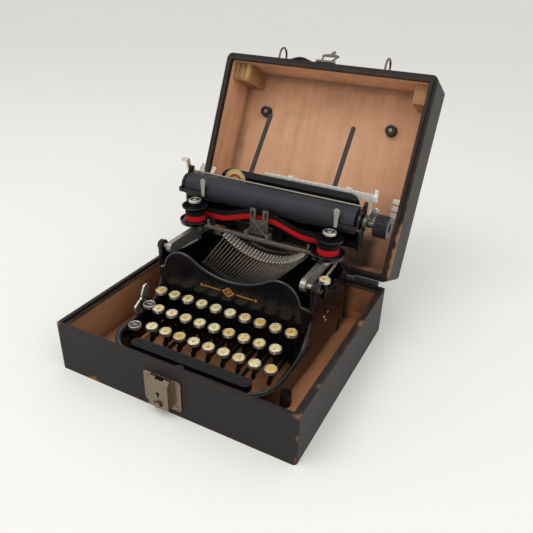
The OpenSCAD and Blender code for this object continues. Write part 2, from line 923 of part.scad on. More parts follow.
// the spring drum that pulls the carriage along
module mainspring_drum() color(nickel)
    machine()
        translate([drum[0], drum[1], fold_z - 3 + slide_gap])
            difference() {
                union() {
                    cylinder(r = drum_r, h = 1.5);
                    cylinder(r = drum_r - 1.5, h = 9);
                    translate([0, 0, 7.5])
                        cylinder(r = drum_r, h = 1.5);
                }
                translate([0, 0, -1])
                    cylinder(r = 2.5 + run_gap, h = 12);
                translate([8, 0, 7])
                    cylinder(r = 2, h = 3);
            }

// carriage

// an end plate of the carriage seen from the side
module end_plate() {
    translate([platen_y, platen_z])
        circle(13);
    translate([rail_y - 2, rail_z - 1])
        square([rail_w + 5, platen_z - rail_z + 1]);
    translate([platen_y, platen_z - 12])
        square([103 - platen_y, 12]);
    translate([print_y - 3, platen_z - 5])
        square([platen_y - print_y, 6]);
    translate([84, platen_z])
        square([9.5, 16]);
    translate([91, platen_z + platen_r + 1.5])
        circle(4);
}

// end plates, rail, rear bar, scale rod and the two paper fingers
module carriage_frame() color(enamel)
    machine()
        difference() {
            union() {
                for (s = [-1, 1])
                    along_x(s * (plate_x + plate_t / 2) - plate_t / 2, s * (plate_x + plate_t / 2) + plate_t / 2)
                        end_plate();
                box([-plate_x - 1, rail_y, rail_z], [plate_x + 1, rail_y + rail_w, rail_z + rail_w]);
                box([-plate_x - 1, 99.5, platen_z - 12], [plate_x + 1, 103, platen_z - 4]);
                rod_x(1.2, -plate_x - 1, plate_x + 1, 91, platen_z + platen_r - 0.8);
                for (x = [-81, 91])
                    mirror([x > 0 ? 0 : 1, 0, 0]) {
                        box([abs(x) - 3, print_y - 3, platen_z - 5], [plate_x + 1, print_y - 1.6, platen_z]);
                        along_y(print_y - 3, print_y - 1.6) {
                            translate([abs(x) - 3, platen_z - 4])
                                square([6, 17]);
                            translate([abs(x), platen_z + 13])
                                circle(3.6);
                        }
                    }
                rod_x(2, -plate_x - plate_t - 4, -plate_x - 1, 92, platen_z + 9);
            }
            rod_x(shaft_r + run_gap, -plate_x - 9, plate_x + 9, platen_y, platen_z);
        }

// the paper table behind the platen, with the ears of the paper rests
module paper_table() color(enamel)
    machine()
        difference() {
            union() {
                intersection() {
                    along_x(-78, 105)
                        polygon([[98, platen_z - 3.9], [99.5, platen_z - 3.9], [105, platen_z + 21.5],
                            [103.5, platen_z + 21.5]]);
                    along_y(90, 110)
                        translate([13.5, platen_z - 4])
                            round_rect(183, 51, 14);
                }
                box([-70, 98, platen_z - 4 + seat_gap], [97, 102.5, platen_z - 2.4]);
                for (x = [-60, 81])
                    along_x(x, x + 3) {
                        translate([100.2, rest_z - 3])
                            square([rest_y - 100.2, 6]);
                        translate([rest_y, rest_z])
                            circle(3);
                    }
            }
            rod_x(1.4 + run_gap, -62, 86, rest_y, rest_z);
        }

// the scale and margin rail behind the paper table, on two posts
module margin_rail() color(nickel)
    machine() {
        box([-20, 107.5, platen_z + 16], [plate_x + 9, 109, platen_z + 24]);
        box([plate_x, 107.5, platen_z - 6], [plate_x + plate_t, 109, platen_z + 20]);
        box([plate_x, 103 + seat_gap, platen_z - 8], [plate_x + plate_t, 109, platen_z - 2]);
        box([-20, 107.5, platen_z - 10], [-16, 109, platen_z + 20]);
        box([-20, 103 + seat_gap, platen_z - 11], [-16, 109, platen_z - 5]);
        box([plate_x + 4, 104, platen_z + 17], [plate_x + 9, 108, platen_z + 23]);
        box([plate_x + 5, 107.5, platen_z + 20], [plate_x + 9, 109, platen_z + 30]);
        for (x = [12, 84])
            box([x, 106.4, platen_z + 18], [x + 6, 111, platen_z + 26]);
    }

// two flat paper rests on one hinge rod
module paper_rests() color(enamel)
    machine()
        translate([0, rest_y, rest_z]) {
            rod_x(1.4, -59.5, 83.5, 0, 0);
            for (x = [-43, 67])
                translate([x, 0, 0])
                    rotate([rest_lean, 0, 0])
                        along_z(-0.6, 0.6) {
                            translate([-2.8, 0])
                                square([5.6, rest_l - 2.8]);
                            translate([0, rest_l - 2.8])
                                circle(2.8);
                        }
        }

// the rubber platen with its shaft, ratchet wheel, collar and ribbed knob
module platen() color(rubber)
    machine()
        translate([0, platen_y, platen_z]) {
            rod_x(platen_r, -platen_hw, platen_hw, 0, 0);
            rod_x(shaft_r, -plate_x - plate_t - 2, plate_x + 22, 0, 0);
            rod_x(9, plate_x + plate_t + 2, plate_x + plate_t + 6, 0, 0);
            difference() {
                rod_x(11.5, -platen_hw - 2.5, -platen_hw, 0, 0);
                for (a = [0 : 15 : 345])
                    rotate([a, 0, 0])
                        rod_x(0.9, -platen_hw - 3, -platen_hw, 0, 11.6);
            }
            difference() {
                rod_x(knob_r, plate_x + 18, plate_x + 18 + knob_l, 0, 0);
                for (a = [0 : 15 : 345])
                    rotate([a, 0, 0])
                        rod_x(0.8, plate_x + 20, plate_x + 16 + knob_l, 0, knob_r + 0.2);
                rod_x(5, plate_x + 17 + knob_l, plate_x + 19 + knob_l, 0, 0);
            }
        }

// the line space lever on the carriage's left end
module line_space_lever() color(nickel)
    machine()
        translate([-plate_x - plate_t - 2.6, 92, platen_z + 9])
            difference() {
                union() {
                    along_x(0, 2) {
                        circle(4.5);
                        rotate(105)
                            translate([11, 0])
                                round_rect(22, 6, 2.9);
                    }
                    rotate([15, 0, 0])
                        box([-7, -3, 19], [2, 3, 20.6]);
                }
                rod_x(2 + run_gap, -1, 3, 0, 0);
            }

case_tray();
tray_hinges();
lock_case();
lock_button();
case_lid();
lid_fittings();
lid_buffers();
accessory_clip();
lock_hasp();
carry_handle();
base_frame();
rubber_feet();
key_fulcrum();
type_segment();
typebars();
key_q();
key_w();
key_e();
key_r();
key_t();
key_y();
key_u();
key_i();
key_o();
key_p();
key_a();
key_s();
key_d();
key_f();
key_g();
key_h();
key_j();
key_k();
key_l();
key_z();
key_x();
key_c();
key_v();
key_b();
key_n();
key_m();
key_comma();
key_stop();
cap_shift_key();
figure_shift_key();
space_bar();
backspace_key();
shift_lock_lever();
fold_frame();
ribbon();
ribbon_vibrator();
spool_left();
spool_right();
mainspring_drum();
carriage_frame();
paper_table();
margin_rail();
paper_rests();
platen();
line_space_lever();
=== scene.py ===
"""Dresses the portable typewriter and its carrying case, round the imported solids."""
import collections
import functools
import math

import bmesh
import bpy
from mathutils import Euler, Matrix, Quaternion, Vector


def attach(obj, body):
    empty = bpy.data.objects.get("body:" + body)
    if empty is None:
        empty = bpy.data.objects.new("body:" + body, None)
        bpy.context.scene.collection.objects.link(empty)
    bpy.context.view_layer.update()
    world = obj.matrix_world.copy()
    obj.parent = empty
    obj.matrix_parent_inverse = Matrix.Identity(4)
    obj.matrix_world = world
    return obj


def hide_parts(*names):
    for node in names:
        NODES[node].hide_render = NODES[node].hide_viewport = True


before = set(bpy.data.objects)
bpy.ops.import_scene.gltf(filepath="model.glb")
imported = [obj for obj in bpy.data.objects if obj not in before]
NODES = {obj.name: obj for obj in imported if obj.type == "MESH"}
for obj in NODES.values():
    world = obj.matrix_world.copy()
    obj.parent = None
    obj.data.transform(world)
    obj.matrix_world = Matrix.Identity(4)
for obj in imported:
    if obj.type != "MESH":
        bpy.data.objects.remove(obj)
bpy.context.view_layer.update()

bl_info = {
    "name": "Portable typewriter dressing",
    "version": (1, 0, 0),
    "blender": (4, 5, 0),
    "location": "View3D > Sidebar > Typewriter",
    "description": "Finishes and fine pieces of a folding portable typewriter in its case",
    "category": "Object",
}

MM = 0.001

# the case's fittings in millimetres: its faces, the hinge line, and where the lock, strap,
# strap loops and hinges sit
FRONT, BACK = -127.0, 127.0
HINGE_Y, HINGE_Z, HINGE_X = 131.0, 60.0, 85.0
LOCK_X, LOCK_TOP = -4.0, 46.0
STRAP_Z, LOOP_X = 96.0, 75.0

# the machine's zero in the case, and the lid's turn from closed to open
MACHINE_X = 0.003
MACHINE = Matrix.Translation((MACHINE_X, 0.0, 0.008))
HINGE = Vector((0.0, HINGE_Y * MM, HINGE_Z * MM))
LID_OPEN = math.radians(114)
LID = (Matrix.Translation(HINGE) @ Matrix.Rotation(-LID_OPEN, 4, "X")
       @ Matrix.Translation(-HINGE))
# stands a section in X and Y across the X axis
ALONG_X = Matrix.Rotation(math.pi / 2, 4, "Y")

# the case in metres: half width, half depth, tray floor and lid floor inside, then outside
CASE_IN = (0.136, 0.118, 0.008, 0.124)
CASE_OUT = (0.145, 0.127)
TRAY_TOP = 0.060
TRAY_REBATE = 0.0545
LID_TOP = 0.132
# places in millimetres where the cloth is rubbed through, each with a radius; the lid is as closed
TRAY_WEAR = (((142, -80, 60), 9), ((143, -124, 60), 12), ((145, -127, 34), 13),
             ((145, -127, 6), 9), ((-100, -127, 8), 20), ((143, 40, 60), 12),
             ((-144, -126, 60), 10))
LID_WEAR = (((145, -127, 118), 16), ((-145, -127, 120), 14), ((144, 60, 62), 18),
            ((145, 20, 128), 18), ((144, 72, 60), 11), ((144, 86, 60), 12),
            ((144, 100, 60), 12), ((144, 114, 60), 12))

# key rows in the machine's frame, in millimetres: first x, y, top
KEY_PITCH = 18.7
KEY_ROWS = ((-83.55, -24, 60), (-72.7, -45, 50), (-66.8, -66, 40))
KEY_NAMES = ("q w e r t y u i o p".split(), "a s d f g h j k l".split(),
             "z x c v b n m comma stop".split())
KEY_FIGURES = ("1234567890", "-/:;()&'\"", "%+=?!#@,.")
# which of the three yellowed faces each key has
KEY_TONES = ("2001110202", "010112001", "102101012")
BLACK_KEYS = (("cap_shift_key", "cap_shift", "CAP", -87.4, -43, 50),
              ("figure_shift_key", "figure_shift", "FIG", -85, -73, 40))
BACKSPACE_AT = (100.5, 20, 107)
# radius of the faces of letter keys, shift keys and backspace
LETTER_R, SHIFT_R, BACKSPACE_R = 5.82, 6.02, 5.32


def mm(x, y, z):
    """A point given in millimetres."""
    return Vector((x, y, z)) * MM


def to(x, y, z):
    """A move given in millimetres."""
    return Matrix.Translation(mm(x, y, z))


def turn(degrees, axis):
    """A turn about an axis through the origin."""
    return Matrix.Rotation(math.radians(degrees), 4, axis)


def scaled(width, height=1.0):
    """A change of a section's width and height."""
    return Matrix.Diagonal((width, height, 1.0, 1.0))


def arc(middle, radii, start, sweep, steps, first=0):
    """Points along an arc, whose start and sweep are in degrees."""
    angles = [math.radians(start + sweep * n / steps) for n in range(first, steps + 1)]
    return [(middle[0] + radii[0] * math.cos(a), middle[1] + radii[1] * math.sin(a))
            for a in angles]


def screen(r, g, b):
    """A colour as it looks on a screen, from 0 to 255, turned to linear light."""
    def linear(c):
        c /= 255
        return c / 12.92 if c <= 0.04045 else ((c + 0.055) / 1.055) ** 2.4
    return (linear(r), linear(g), linear(b))


def tint(colour, amount):
    """A colour made lighter or darker."""
    return tuple(min(1.0, c * amount) for c in colour[:3])


def math_node(operation, swap=False):
    """A method that adds a Math node for its operands."""
    def method(self, *others):
        terms = (*others, self) if swap else (self, *others)
        return self.finish.node("ShaderNodeMath", {"operation": operation},
                                dict(enumerate(terms)))
    return method


class Value:
    """A shader socket that works in sums: each operator adds a Math node."""

    def __init__(self, finish, socket):
        self.finish = finish
        self.socket = socket

    __add__ = __radd__ = math_node("ADD")
    __mul__ = __rmul__ = math_node("MULTIPLY")
    __sub__ = math_node("SUBTRACT")
    __rsub__ = math_node("SUBTRACT", swap=True)
    __truediv__ = math_node("DIVIDE")
    __gt__ = math_node("GREATER_THAN")
    __lt__ = math_node("LESS_THAN")
    __abs__ = math_node("ABSOLUTE")
    least = math_node("MINIMUM")
    most = math_node("MAXIMUM")
    root = math_node("SQRT")
    fraction = math_node("FRACT")

    def ease(self, low, high):
        """0 below low, 1 above high, and a smooth step between."""
        return self.finish.node("ShaderNodeMapRange", {"interpolation_type": "SMOOTHSTEP"},
                                {0: self, 1: low, 2: high})


class Finish:
    """The nodes of one material or world, built one by one."""

    def __init__(self, block):
        self.block = block
        block.use_nodes = True
        self.tree = block.node_tree
        self.tree.nodes.clear()

    @functools.cached_property
    def place(self):
        """Object coordinates."""
        return self.node("ShaderNodeTexCoord", out="Object")

    def node(self, kind, settings=None, inputs=None, out=0):
        """Adds a node: its settings first, then the values or links of its sockets."""
        made = self.tree.nodes.new(kind)
        for name, value in (settings or {}).items():
            setattr(made, name, value)
        for key, value in (inputs or {}).items():
            if isinstance(value, Value):
                self.tree.links.new(value.socket, made.inputs[key])
            else:
                made.inputs[key].default_value = value
        return Value(self, made.outputs[out]) if len(made.outputs) else None

    def moved(self, at, turn=(0, 0, 0), shift=(0, 0, 0), stretch=(1, 1, 1)):
        """Coordinates that are stretched, turned and shifted."""
        return self.node("ShaderNodeMapping", None, {
            "Vector": at, "Rotation": turn, "Location": shift, "Scale": stretch})

    def axes(self, at):
        """X, Y and Z of coordinates."""
        return [self.node("ShaderNodeSeparateXYZ", None, {0: at}, out) for out in "XYZ"]

    def noise(self, scale, detail=4.0, rough=0.55, at=None, stretch=None):
        """Cloudy noise, drawn out along an axis where its stretch is small."""
        at = at or self.place
        if stretch:
            at = self.moved(at, stretch=stretch)
        return self.node("ShaderNodeTexNoise", None, {
            "Vector": at, "Scale": scale, "Detail": detail, "Roughness": rough})

    def cells(self, scale, at=None):
        """Distance from the middle of the nearest cell."""
        return self.node("ShaderNodeTexVoronoi", {"feature": "F1"}, {
            "Vector": at or self.place, "Scale": scale})

    def vector(self, operation, one, other):
        """A number from two vectors."""
        return self.node("ShaderNodeVectorMath", {"operation": operation},
                         {0: one, 1: other}, "Value")

    def blend(self, factor, low, high):
        """A colour between low and high."""
        low, high = [c if isinstance(c, Value) else (*c[:3], 1.0) for c in (low, high)]
        return self.node("ShaderNodeMix", {"data_type": "RGBA"},
                         {0: factor, 6: low, 7: high}, 2)

    def layered(self, colour, tone, *layers):
        """A colour with tints of a tone laid over it, each by its own amount."""
        for amount, shade in layers:
            colour = self.blend(amount, colour, tint(tone, shade))
        return colour

    def varied(self, factor, tone, low, high):
        """A colour between two tints of a tone."""
        return self.blend(factor, tint(tone, low), tint(tone, high))

    def bump(self, height, depth, under=None):
        """A normal with a relief, over another normal where one is given."""
        sockets = {"Height": height, "Distance": depth, "Strength": 1.0}
        if under is not None:
            sockets["Normal"] = under
        return self.node("ShaderNodeBump", None, sockets)

    def rounded(self, radius):
        """A normal that runs round sharp edges."""
        return self.node("ShaderNodeBevel", {"samples": 4}, {"Radius": radius})

    def edges(self, radius):
        """Near 0 on flats, rising to about 0.3 at a sharp edge."""
        plain = self.node("ShaderNodeNewGeometry", out="Normal")
        return 1.0 - self.vector("DOT_PRODUCT", self.rounded(radius), plain)

    def seen(self):
        """1 for rays of the picture and of mirror images in it, 0 for plain light."""
        rays = [self.node("ShaderNodeLightPath", out=f"Is {kind} Ray")
                for kind in ("Camera", "Glossy", "Transmission")]
        return rays[0].most(rays[1]).most(rays[2])

    def done(self, **sockets):
        """Closes the material with a Principled shader."""
        sockets = {name.replace("_", " "): value for name, value in sockets.items()}
        shader = self.node("ShaderNodeBsdfPrincipled", None, sockets)
        self.node("ShaderNodeOutputMaterial", None, {"Surface": shader})
        return self.block


def case_cloth(fin, in_lid):
    """Black leathercloth over board, worn along the edges, with a brown paper lining."""
    looks = bpy.context.scene.typewriter_looks
    at = fin.place
    if in_lid:
        back = Euler((LID_OPEN, 0, 0)).to_matrix()
        at = fin.moved(at, turn=(LID_OPEN, 0, 0), shift=HINGE - back @ HINGE)
    x, y, z = axes = fin.axes(at)
    half_w, half_d, floor_z, lid_z = CASE_IN
    skin = 0.0002
    if in_lid:
        bottom, low_z, high_z = TRAY_TOP, TRAY_TOP + 0.003, lid_z + skin
        ledge = (z > bottom - 0.0045) * (z < bottom - 0.0035)
    else:
        bottom, low_z, high_z = 0.0, floor_z - skin, TRAY_REBATE
        ledge = (z > TRAY_REBATE) * (z < 0.0562)
    inside = [(value > low) * (value < high) for value, low, high in (
        (x, -half_w - skin, half_w + skin), (y, -half_d - skin, half_d + skin),
        (z, low_z, high_z))]
    lining = inside[0] * inside[1] * inside[2]

    broad = fin.noise(9.0, 5.0, at=at)
    patch = fin.noise(38.0, 5.0, 0.6, at=at)
    fine = fin.noise(420.0, 3.0, at=at)
    rubbed = from_edge(axes, bottom, LID_TOP if in_lid else TRAY_TOP)
    rubbed = rubbed + (patch - 0.5) * 0.016 + (broad - 0.5) * 0.010
    for centre, radius in LID_WEAR if in_lid else TRAY_WEAR:
        away = fin.vector("DISTANCE", at, mm(*centre))
        rubbed = rubbed - (1.0 - away.ease(0.0, radius * MM)) * 0.008
    worn = 1.0 - rubbed.ease(-0.0022, 0.0030)
    bare = 1.0 - rubbed.ease(-0.0052, -0.0012)

    grain = fin.cells(1250.0, at=at)
    pores = fin.noise(900.0, 2.0, at=at)
    scuff = fin.noise(60.0, 6.0, 0.7, at=at, stretch=(1.0, 1.0, 0.25)).ease(0.58, 0.78)
    mottle = fin.noise(150.0, 5.0, 0.72, at=at)
    fibre = fin.noise(70.0, 6.0, 0.65, at=at, stretch=(1.0, 0.12, 1.0))
    cloth = fin.varied(broad.ease(0.3, 0.7), looks.cloth, 0.75, 1.35)
    cloth = fin.layered(cloth, looks.cloth, (mottle.ease(0.42, 0.72) * 0.35, 2.6),
                        (scuff * 0.5, 3.8))
    cloth = fin.layered(cloth, looks.worn, (worn * 0.7, 0.22),
                        (bare * 0.85, 1.7 if in_lid else 1.0))
    cloth = fin.layered(cloth, looks.cloth, (grain.ease(0.15, 0.6) * 0.35, 0.4))
    colour = fin.blend(lining, cloth, lining_paper(fin, in_lid, at, axes, broad, patch, fibre))
    ledge = ledge * (abs(x) < half_w + 0.0046) * (abs(y) < half_d + 0.0046) * (1.0 - lining)
    rub = ledge * patch.ease(0.30, 0.75) * (0.2 if in_lid else 0.6)
    colour = fin.blend(rub, colour, tint(looks.worn, 0.35))
    rough = (0.42 + fine * 0.2 + worn * 0.2) * (1.0 - lining) + lining * (0.78 + fine * 0.1)
    relief = (grain * 0.5 + pores * 0.25 + mottle * 2.4 - bare * 0.8) * (1.0 - lining)
    relief = relief + lining * (fibre * 0.35 + fine * 0.2)
    return fin.done(Base_Color=colour, Roughness=rough, Specular_IOR_Level=0.24,
                    Normal=fin.bump(relief, 0.00022, fin.rounded(0.0012)))


def from_edge(axes, bottom, top):
    """Distance along the case's surface from the nearest outer edge."""
    x, y, z = axes
    to_x, to_y = CASE_OUT[0] - abs(x), CASE_OUT[1] - abs(y)
    to_z = (z - bottom).least(top - z)
    nearest = to_x.least(to_y).least(to_z)
    furthest = to_x.most(to_y).most(to_z)
    return to_x + to_y + to_z - nearest - furthest


def lining_paper(fin, in_lid, at, axes, broad, patch, fibre):
    """Colour of the brown paper: fibres and stains, with painted shade along its inside corners,
    on the tray's left wall and round and under the machine, and painted light on the tray floor
    right of the machine.
    """
    looks = bpy.context.scene.typewriter_looks
    x, y, z = axes
    half_w, half_d, floor_z, lid_z = CASE_IN
    paper = looks.lining if in_lid else looks.shaded_tray_lining
    stain = fin.noise(14.0, 4.0, 0.6, at=at).ease(0.52, 0.75)
    speck = fin.noise(260.0, 2.0, 0.5, at=at).ease(0.70, 0.78)
    # painted shade: the paper darkens where its walls meet its floor
    corner = (half_w - abs(x)).least(half_d - abs(y))
    depth = (lid_z - z) if in_lid else (z - floor_z)
    corner_shade = 1.0 - (corner.most(depth) + (patch - 0.5) * 0.012).ease(0.0, 0.014)
    beside = 1.0 - abs(x + 0.014).ease(0.110, 0.126)
    layers = [(patch.ease(0.35, 0.75) * 0.45, 1.18), (stain * 0.42, 0.45), (speck * 0.5, 0.3),
              (corner_shade * 0.6, 0.3)]
    if in_lid:
        damp_x = (x + (patch - 0.5) * 0.08).ease(0.05, 0.12)
        damp_y = (y + (broad - 0.5) * 0.12).ease(0.00, 0.07)
        # painted shade: the lid's paper darkens towards its lower middle, behind the machine
        machine_shade = (y + (broad - 0.5) * 0.03).ease(0.055, 0.085) * beside
        layers += [(damp_x * damp_y * 0.75, 0.28), (machine_shade * 0.9, 0.02)]
    else:
        on_floor = z < 0.02
        # painted shade on the tray's left wall, and painted light on the floor right of the
        # machine
        layers += [(broad.ease(0.35, 0.65) * 0.5, 0.45), ((x < 0.001 - half_w) * 0.45, 0.45),
                   (x.ease(0.096, 0.108) * on_floor * 0.8, 1.5)]
    tone = fin.layered(fin.varied(fibre.ease(0.3, 0.7), paper, 0.88, 1.08), paper, *layers)
    if in_lid:
        return tone
    # painted shade: the tray's paper goes near black under the machine and on the back wall behind
    # it
    under = y.ease(-0.016, 0.006) * (1.0 - abs(x - MACHINE_X).ease(0.086, 0.108)) * on_floor
    machine_shade = under.most((y > 0.1) * beside)
    return fin.blend(machine_shade * 0.96, tone, (0.004, 0.004, 0.004))


def plated(fin, tone, dull, marks=None, metal=0.85):
    """Old plated metal: bright, clouded in patches, with hair scratches and a painted highlight
    along its edges.
    """
    cloud = fin.noise(55.0, 6.0, 0.65)
    spot = fin.noise(330.0, 4.0, 0.6)
    hair = fin.noise(300.0, 3.0, 0.6, stretch=(1.0, 0.06, 0.5))
    hair_across = fin.noise(280.0, 3.0, 0.6, stretch=(0.05, 1.0, 0.7))
    tarnish = (cloud.ease(0.48, 0.80) * 0.5 + spot.ease(0.64, 0.78) * 0.35) * dull
    # painted highlight: edges are lightened
    edge = fin.edges(0.0007).ease(0.03, 0.2)
    colour = fin.layered(tone, tone, (tarnish, 0.40), (edge * 0.5, 1.15))
    if marks:
        colour = fin.blend(marks(fin), colour, (0.018, 0.018, 0.019))
    rough = 0.22 + tarnish * 0.30 + hair * 0.10
    relief = hair.ease(0.6, 0.72) + hair_across.ease(0.62, 0.72) + spot * 0.4
    normal = fin.bump(relief, 0.00002, fin.rounded(0.0005))
    return fin.done(Base_Color=colour, Metallic=metal, Roughness=rough, Normal=normal)


def graduation(fin):
    """Division marks along the lower edge of the margin rail, ten to the inch."""
    inch, end = 0.0254, 0.118
    low, short_top, tall_top = 0.1762, 0.1775, 0.1792
    x, _, z = fin.axes(fin.place)
    short = ((x / (inch / 10)).fraction() < 0.12) * (z < short_top)
    tall = ((x / (inch / 2)).fraction() < 0.03) * (z < tall_top)
    return short.most(tall) * (z > low) * (x < end) * 0.4


def below(level):
    """Marks the black part of a key: lever and stem, under its ring."""
    def mark(fin):
        return fin.axes(fin.place)[2] < level
    return mark


def works(fin):
    """Marks the black part of the folding frame, between its arms and behind the front bar."""
    front_bar, arms = 0.070, 0.080
    x, y, _ = fin.axes(fin.place)
    return (y > front_bar) * (abs(x - MACHINE_X) < arms)


def basket_shade(fin):
    """Marks the low front ends of the typebars, deep in the basket, with painted shade that takes
    them near black.
    """
    return (1.0 - fin.axes(fin.place)[1].ease(0.008, 0.066)) * 0.92


def enamelled(fin, tone, gloss, motif=None, coat=0.1):
    """Baked black enamel: deep gloss, dust, fine scratches and chips along edges."""
    ripple = fin.noise(160.0, 2.0, 0.4)
    smear = fin.noise(28.0, 5.0, 0.6)
    dust = fin.noise(700.0, 3.0, 0.7).ease(0.60, 0.80)
    scratch = fin.noise(200.0, 3.0, 0.6, stretch=(0.04, 1.0, 1.0)).ease(0.66, 0.74)
    edge = fin.edges(0.0012)
    chip = edge.ease(0.05, 0.22) * fin.noise(240.0, 4.0, 0.6).ease(0.52, 0.62)
    colour = fin.varied(smear.ease(0.35, 0.7), tone, 0.7, 1.4)
    colour = fin.blend(dust * 0.08, colour, (0.16, 0.14, 0.12))
    colour = fin.blend(chip * 0.7, colour, (0.11, 0.075, 0.05))
    rough = gloss + smear.ease(0.4, 0.8) * 0.10 + dust * 0.2 + chip * 0.4
    metal = chip * 0.3
    for mask, shade, shine in (motif(fin) if motif else ()):
        rubbed = mask * (1.0 - fin.noise(420.0, 4.0, 0.6).ease(0.56, 0.72) * 0.6)
        colour = fin.blend(rubbed, colour, shade)
        rough = rough + rubbed * 0.22
        metal = metal + rubbed * shine
    relief = ripple * 0.5 + scratch * 0.2 - chip * 0.8
    normal = fin.bump(relief, 0.00003, fin.rounded(0.0009))
    return fin.done(Base_Color=colour, Roughness=rough, Metallic=metal, Coat_Weight=coat,
                    Coat_Roughness=0.05, Specular_IOR_Level=0.25, Normal=normal)


def lozenge_mark(fin):
    """A plain gilt lozenge between two lines, on the front face of the panel."""
    gold = bpy.context.scene.typewriter_looks.gold
    middle_z, panel_front = 0.0835, -0.0118
    x, y, z = fin.axes(fin.moved(fin.place, shift=(-MACHINE_X, 0.0, -middle_z)))
    across, up = abs(x), abs(z)
    lozenge = across / 0.0085 + up / 0.0065
    diamond = (lozenge < 1.0) * (lozenge > 0.62) + (lozenge < 0.36)
    lines = (up < 0.0008) * (across > 0.0105) * (across < 0.032)
    to_dot = across - 0.035
    dots = (to_dot * to_dot + up * up) < 0.000003
    return [((diamond + lines + dots).least(1.0) * (y < panel_front), gold, 0.7)]


def ring_mark(fin):
    """A plain gilt disc with a dull red band, on the front of the paper table."""
    middle_x, middle_z, table_front = -0.0545, 0.1668, 0.1045
    x, y, z = fin.axes(fin.moved(fin.place, shift=(-middle_x, 0.0, -middle_z)))
    away = (x * x + z * z).root()
    front = y < table_front
    disc = (away < 0.0154) * front
    band = (away > 0.0066) * (away < 0.0098) * front
    line = (away > 0.0134) * (away < 0.0139) * front
    return [(disc, screen(216, 188, 126), 0.2), (band, screen(168, 66, 48), 0.0),
            (line, screen(90, 60, 34), 0.0)]


def rubber_marks(fin):
    """Clouds, grit and faint rings in rubber."""
    return (fin.noise(36.0, 5.0, 0.6), fin.noise(900.0, 3.0, 0.6),
            fin.noise(240.0, 2.0, 0.5, stretch=(1.0, 0.08, 0.08)))


def rubbered(fin, tone, sheen):
    """Hard old rubber, dulled, with faint marks round it."""
    cloud, grit, ring = rubber_marks(fin)
    colour = fin.varied(cloud.ease(0.3, 0.7), tone, 0.75, 1.3)
    colour = fin.layered(colour, tone, (ring.ease(0.55, 0.75) * 0.35, 2.2))
    rough = sheen + cloud * 0.14 + grit * 0.08
    normal = fin.bump(grit * 0.5 + ring * 0.6, 0.00005, fin.rounded(0.0008))
    return fin.done(Base_Color=colour, Roughness=rough, Specular_IOR_Level=0.3, Normal=normal)


def platen_roll(fin, tone, steel):
    """The platen: dull rubber with faint rings, steel shaft and ratchet, and a polished knob."""
    roll_from, roll_to, knob_from = -0.1071, 0.1131, 0.1338
    x = fin.axes(fin.place)[0]
    metal = (x < roll_from) + (x > roll_to) * (x < knob_from)
    knob = x > knob_from
    cloud, grit, ring = rubber_marks(fin)
    colour = fin.varied(cloud.ease(0.3, 0.7), tone, 0.8, 1.25)
    colour = fin.layered(colour, tone, (ring.ease(0.58, 0.78) * 0.25, 2.0), (knob, 0.2))
    colour = fin.blend(metal, colour, steel)
    rough = 0.46 + cloud * 0.12 + grit * 0.06 - knob * 0.18 - metal * 0.22
    normal = fin.bump(grit * 0.5 + ring * 0.6, 0.00005, fin.rounded(0.0006))
    return fin.done(Base_Color=colour, Roughness=rough, Metallic=metal, Specular_IOR_Level=0.3,
                    Normal=normal)


def key_face(fin, tone):
    """Celluloid over a paper disc, yellowed unevenly."""
    cloud = fin.noise(260.0, 4.0, 0.6)
    fine = fin.noise(1500.0, 3.0, 0.6)
    colour = fin.varied(cloud.ease(0.35, 0.7), tone, 1.08, 0.72)
    colour = fin.layered(colour, tone, (fine.ease(0.62, 0.78) * 0.4, 0.35))
    return fin.done(Base_Color=colour, Roughness=0.18 + cloud * 0.16, Coat_Weight=0.3,
                    Normal=fin.bump(cloud + fine * 0.3, 0.00004))


def printed(fin, tone):
    """Printer's ink, a little uneven."""
    cloud = fin.noise(900.0, 3.0, 0.6)
    return fin.done(Base_Color=fin.varied(cloud, tone, 0.6, 1.6), Roughness=0.35 + cloud * 0.2,
                    Normal=fin.bump(cloud, 0.00002))


def hide(fin, tone):
    """Strap leather: fine creases, rubbed lighter in patches."""
    crease = fin.cells(700.0)
    fold = fin.noise(150.0, 5.0, 0.65, stretch=(0.35, 1.0, 1.0))
    rub = fin.noise(45.0, 5.0, 0.6).ease(0.5, 0.75)
    colour = fin.layered(tone, tone, (rub * 0.6, 2.4), (crease.ease(0.2, 0.7) * 0.4, 0.4))
    return fin.done(Base_Color=colour, Roughness=0.42 + fold * 0.25,
                    Normal=fin.bump(crease * 0.5 + fold, 0.00016))


def waxed_thread(fin, tone):
    """Stitching thread with a twist."""
    twist = fin.noise(2600.0, 2.0, 0.5)
    return fin.done(Base_Color=fin.varied(twist, tone, 0.6, 1.3), Roughness=0.6 + twist * 0.2,
                    Normal=fin.bump(twist, 0.00006))


def inked_cloth(fin, red, black):
    """Woven ribbon, inked black above and red below."""
    uv = fin.node("ShaderNodeTexCoord", out="UV")
    across = fin.axes(uv)[1]
    weave, weft = [fin.node("ShaderNodeTexWave", {"bands_direction": axis},
                            {"Vector": uv, "Scale": scale}, 1)
                   for axis, scale in (("X", 130.0), ("Y", 14.0))]
    bleed = fin.noise(90.0, 4.0, 0.6)
    split = (across + (bleed - 0.5) * 0.06).ease(0.50, 0.54)
    faded = fin.noise(120.0, 5.0, 0.6, stretch=(0.25, 1.0, 1.0)).ease(0.45, 0.75)
    colour = fin.blend(split, fin.layered(red, red, (faded * 0.45, 0.42)),
                       fin.layered(black, black, (faded * 0.5, 2.0)))
    colour = fin.blend(weave * 0.25, colour, (0.0, 0.0, 0.0))
    return fin.done(Base_Color=colour, Roughness=0.75 + weave * 0.1, Specular_IOR_Level=0.2,
                    Normal=fin.bump(weave + weft, 0.00006))


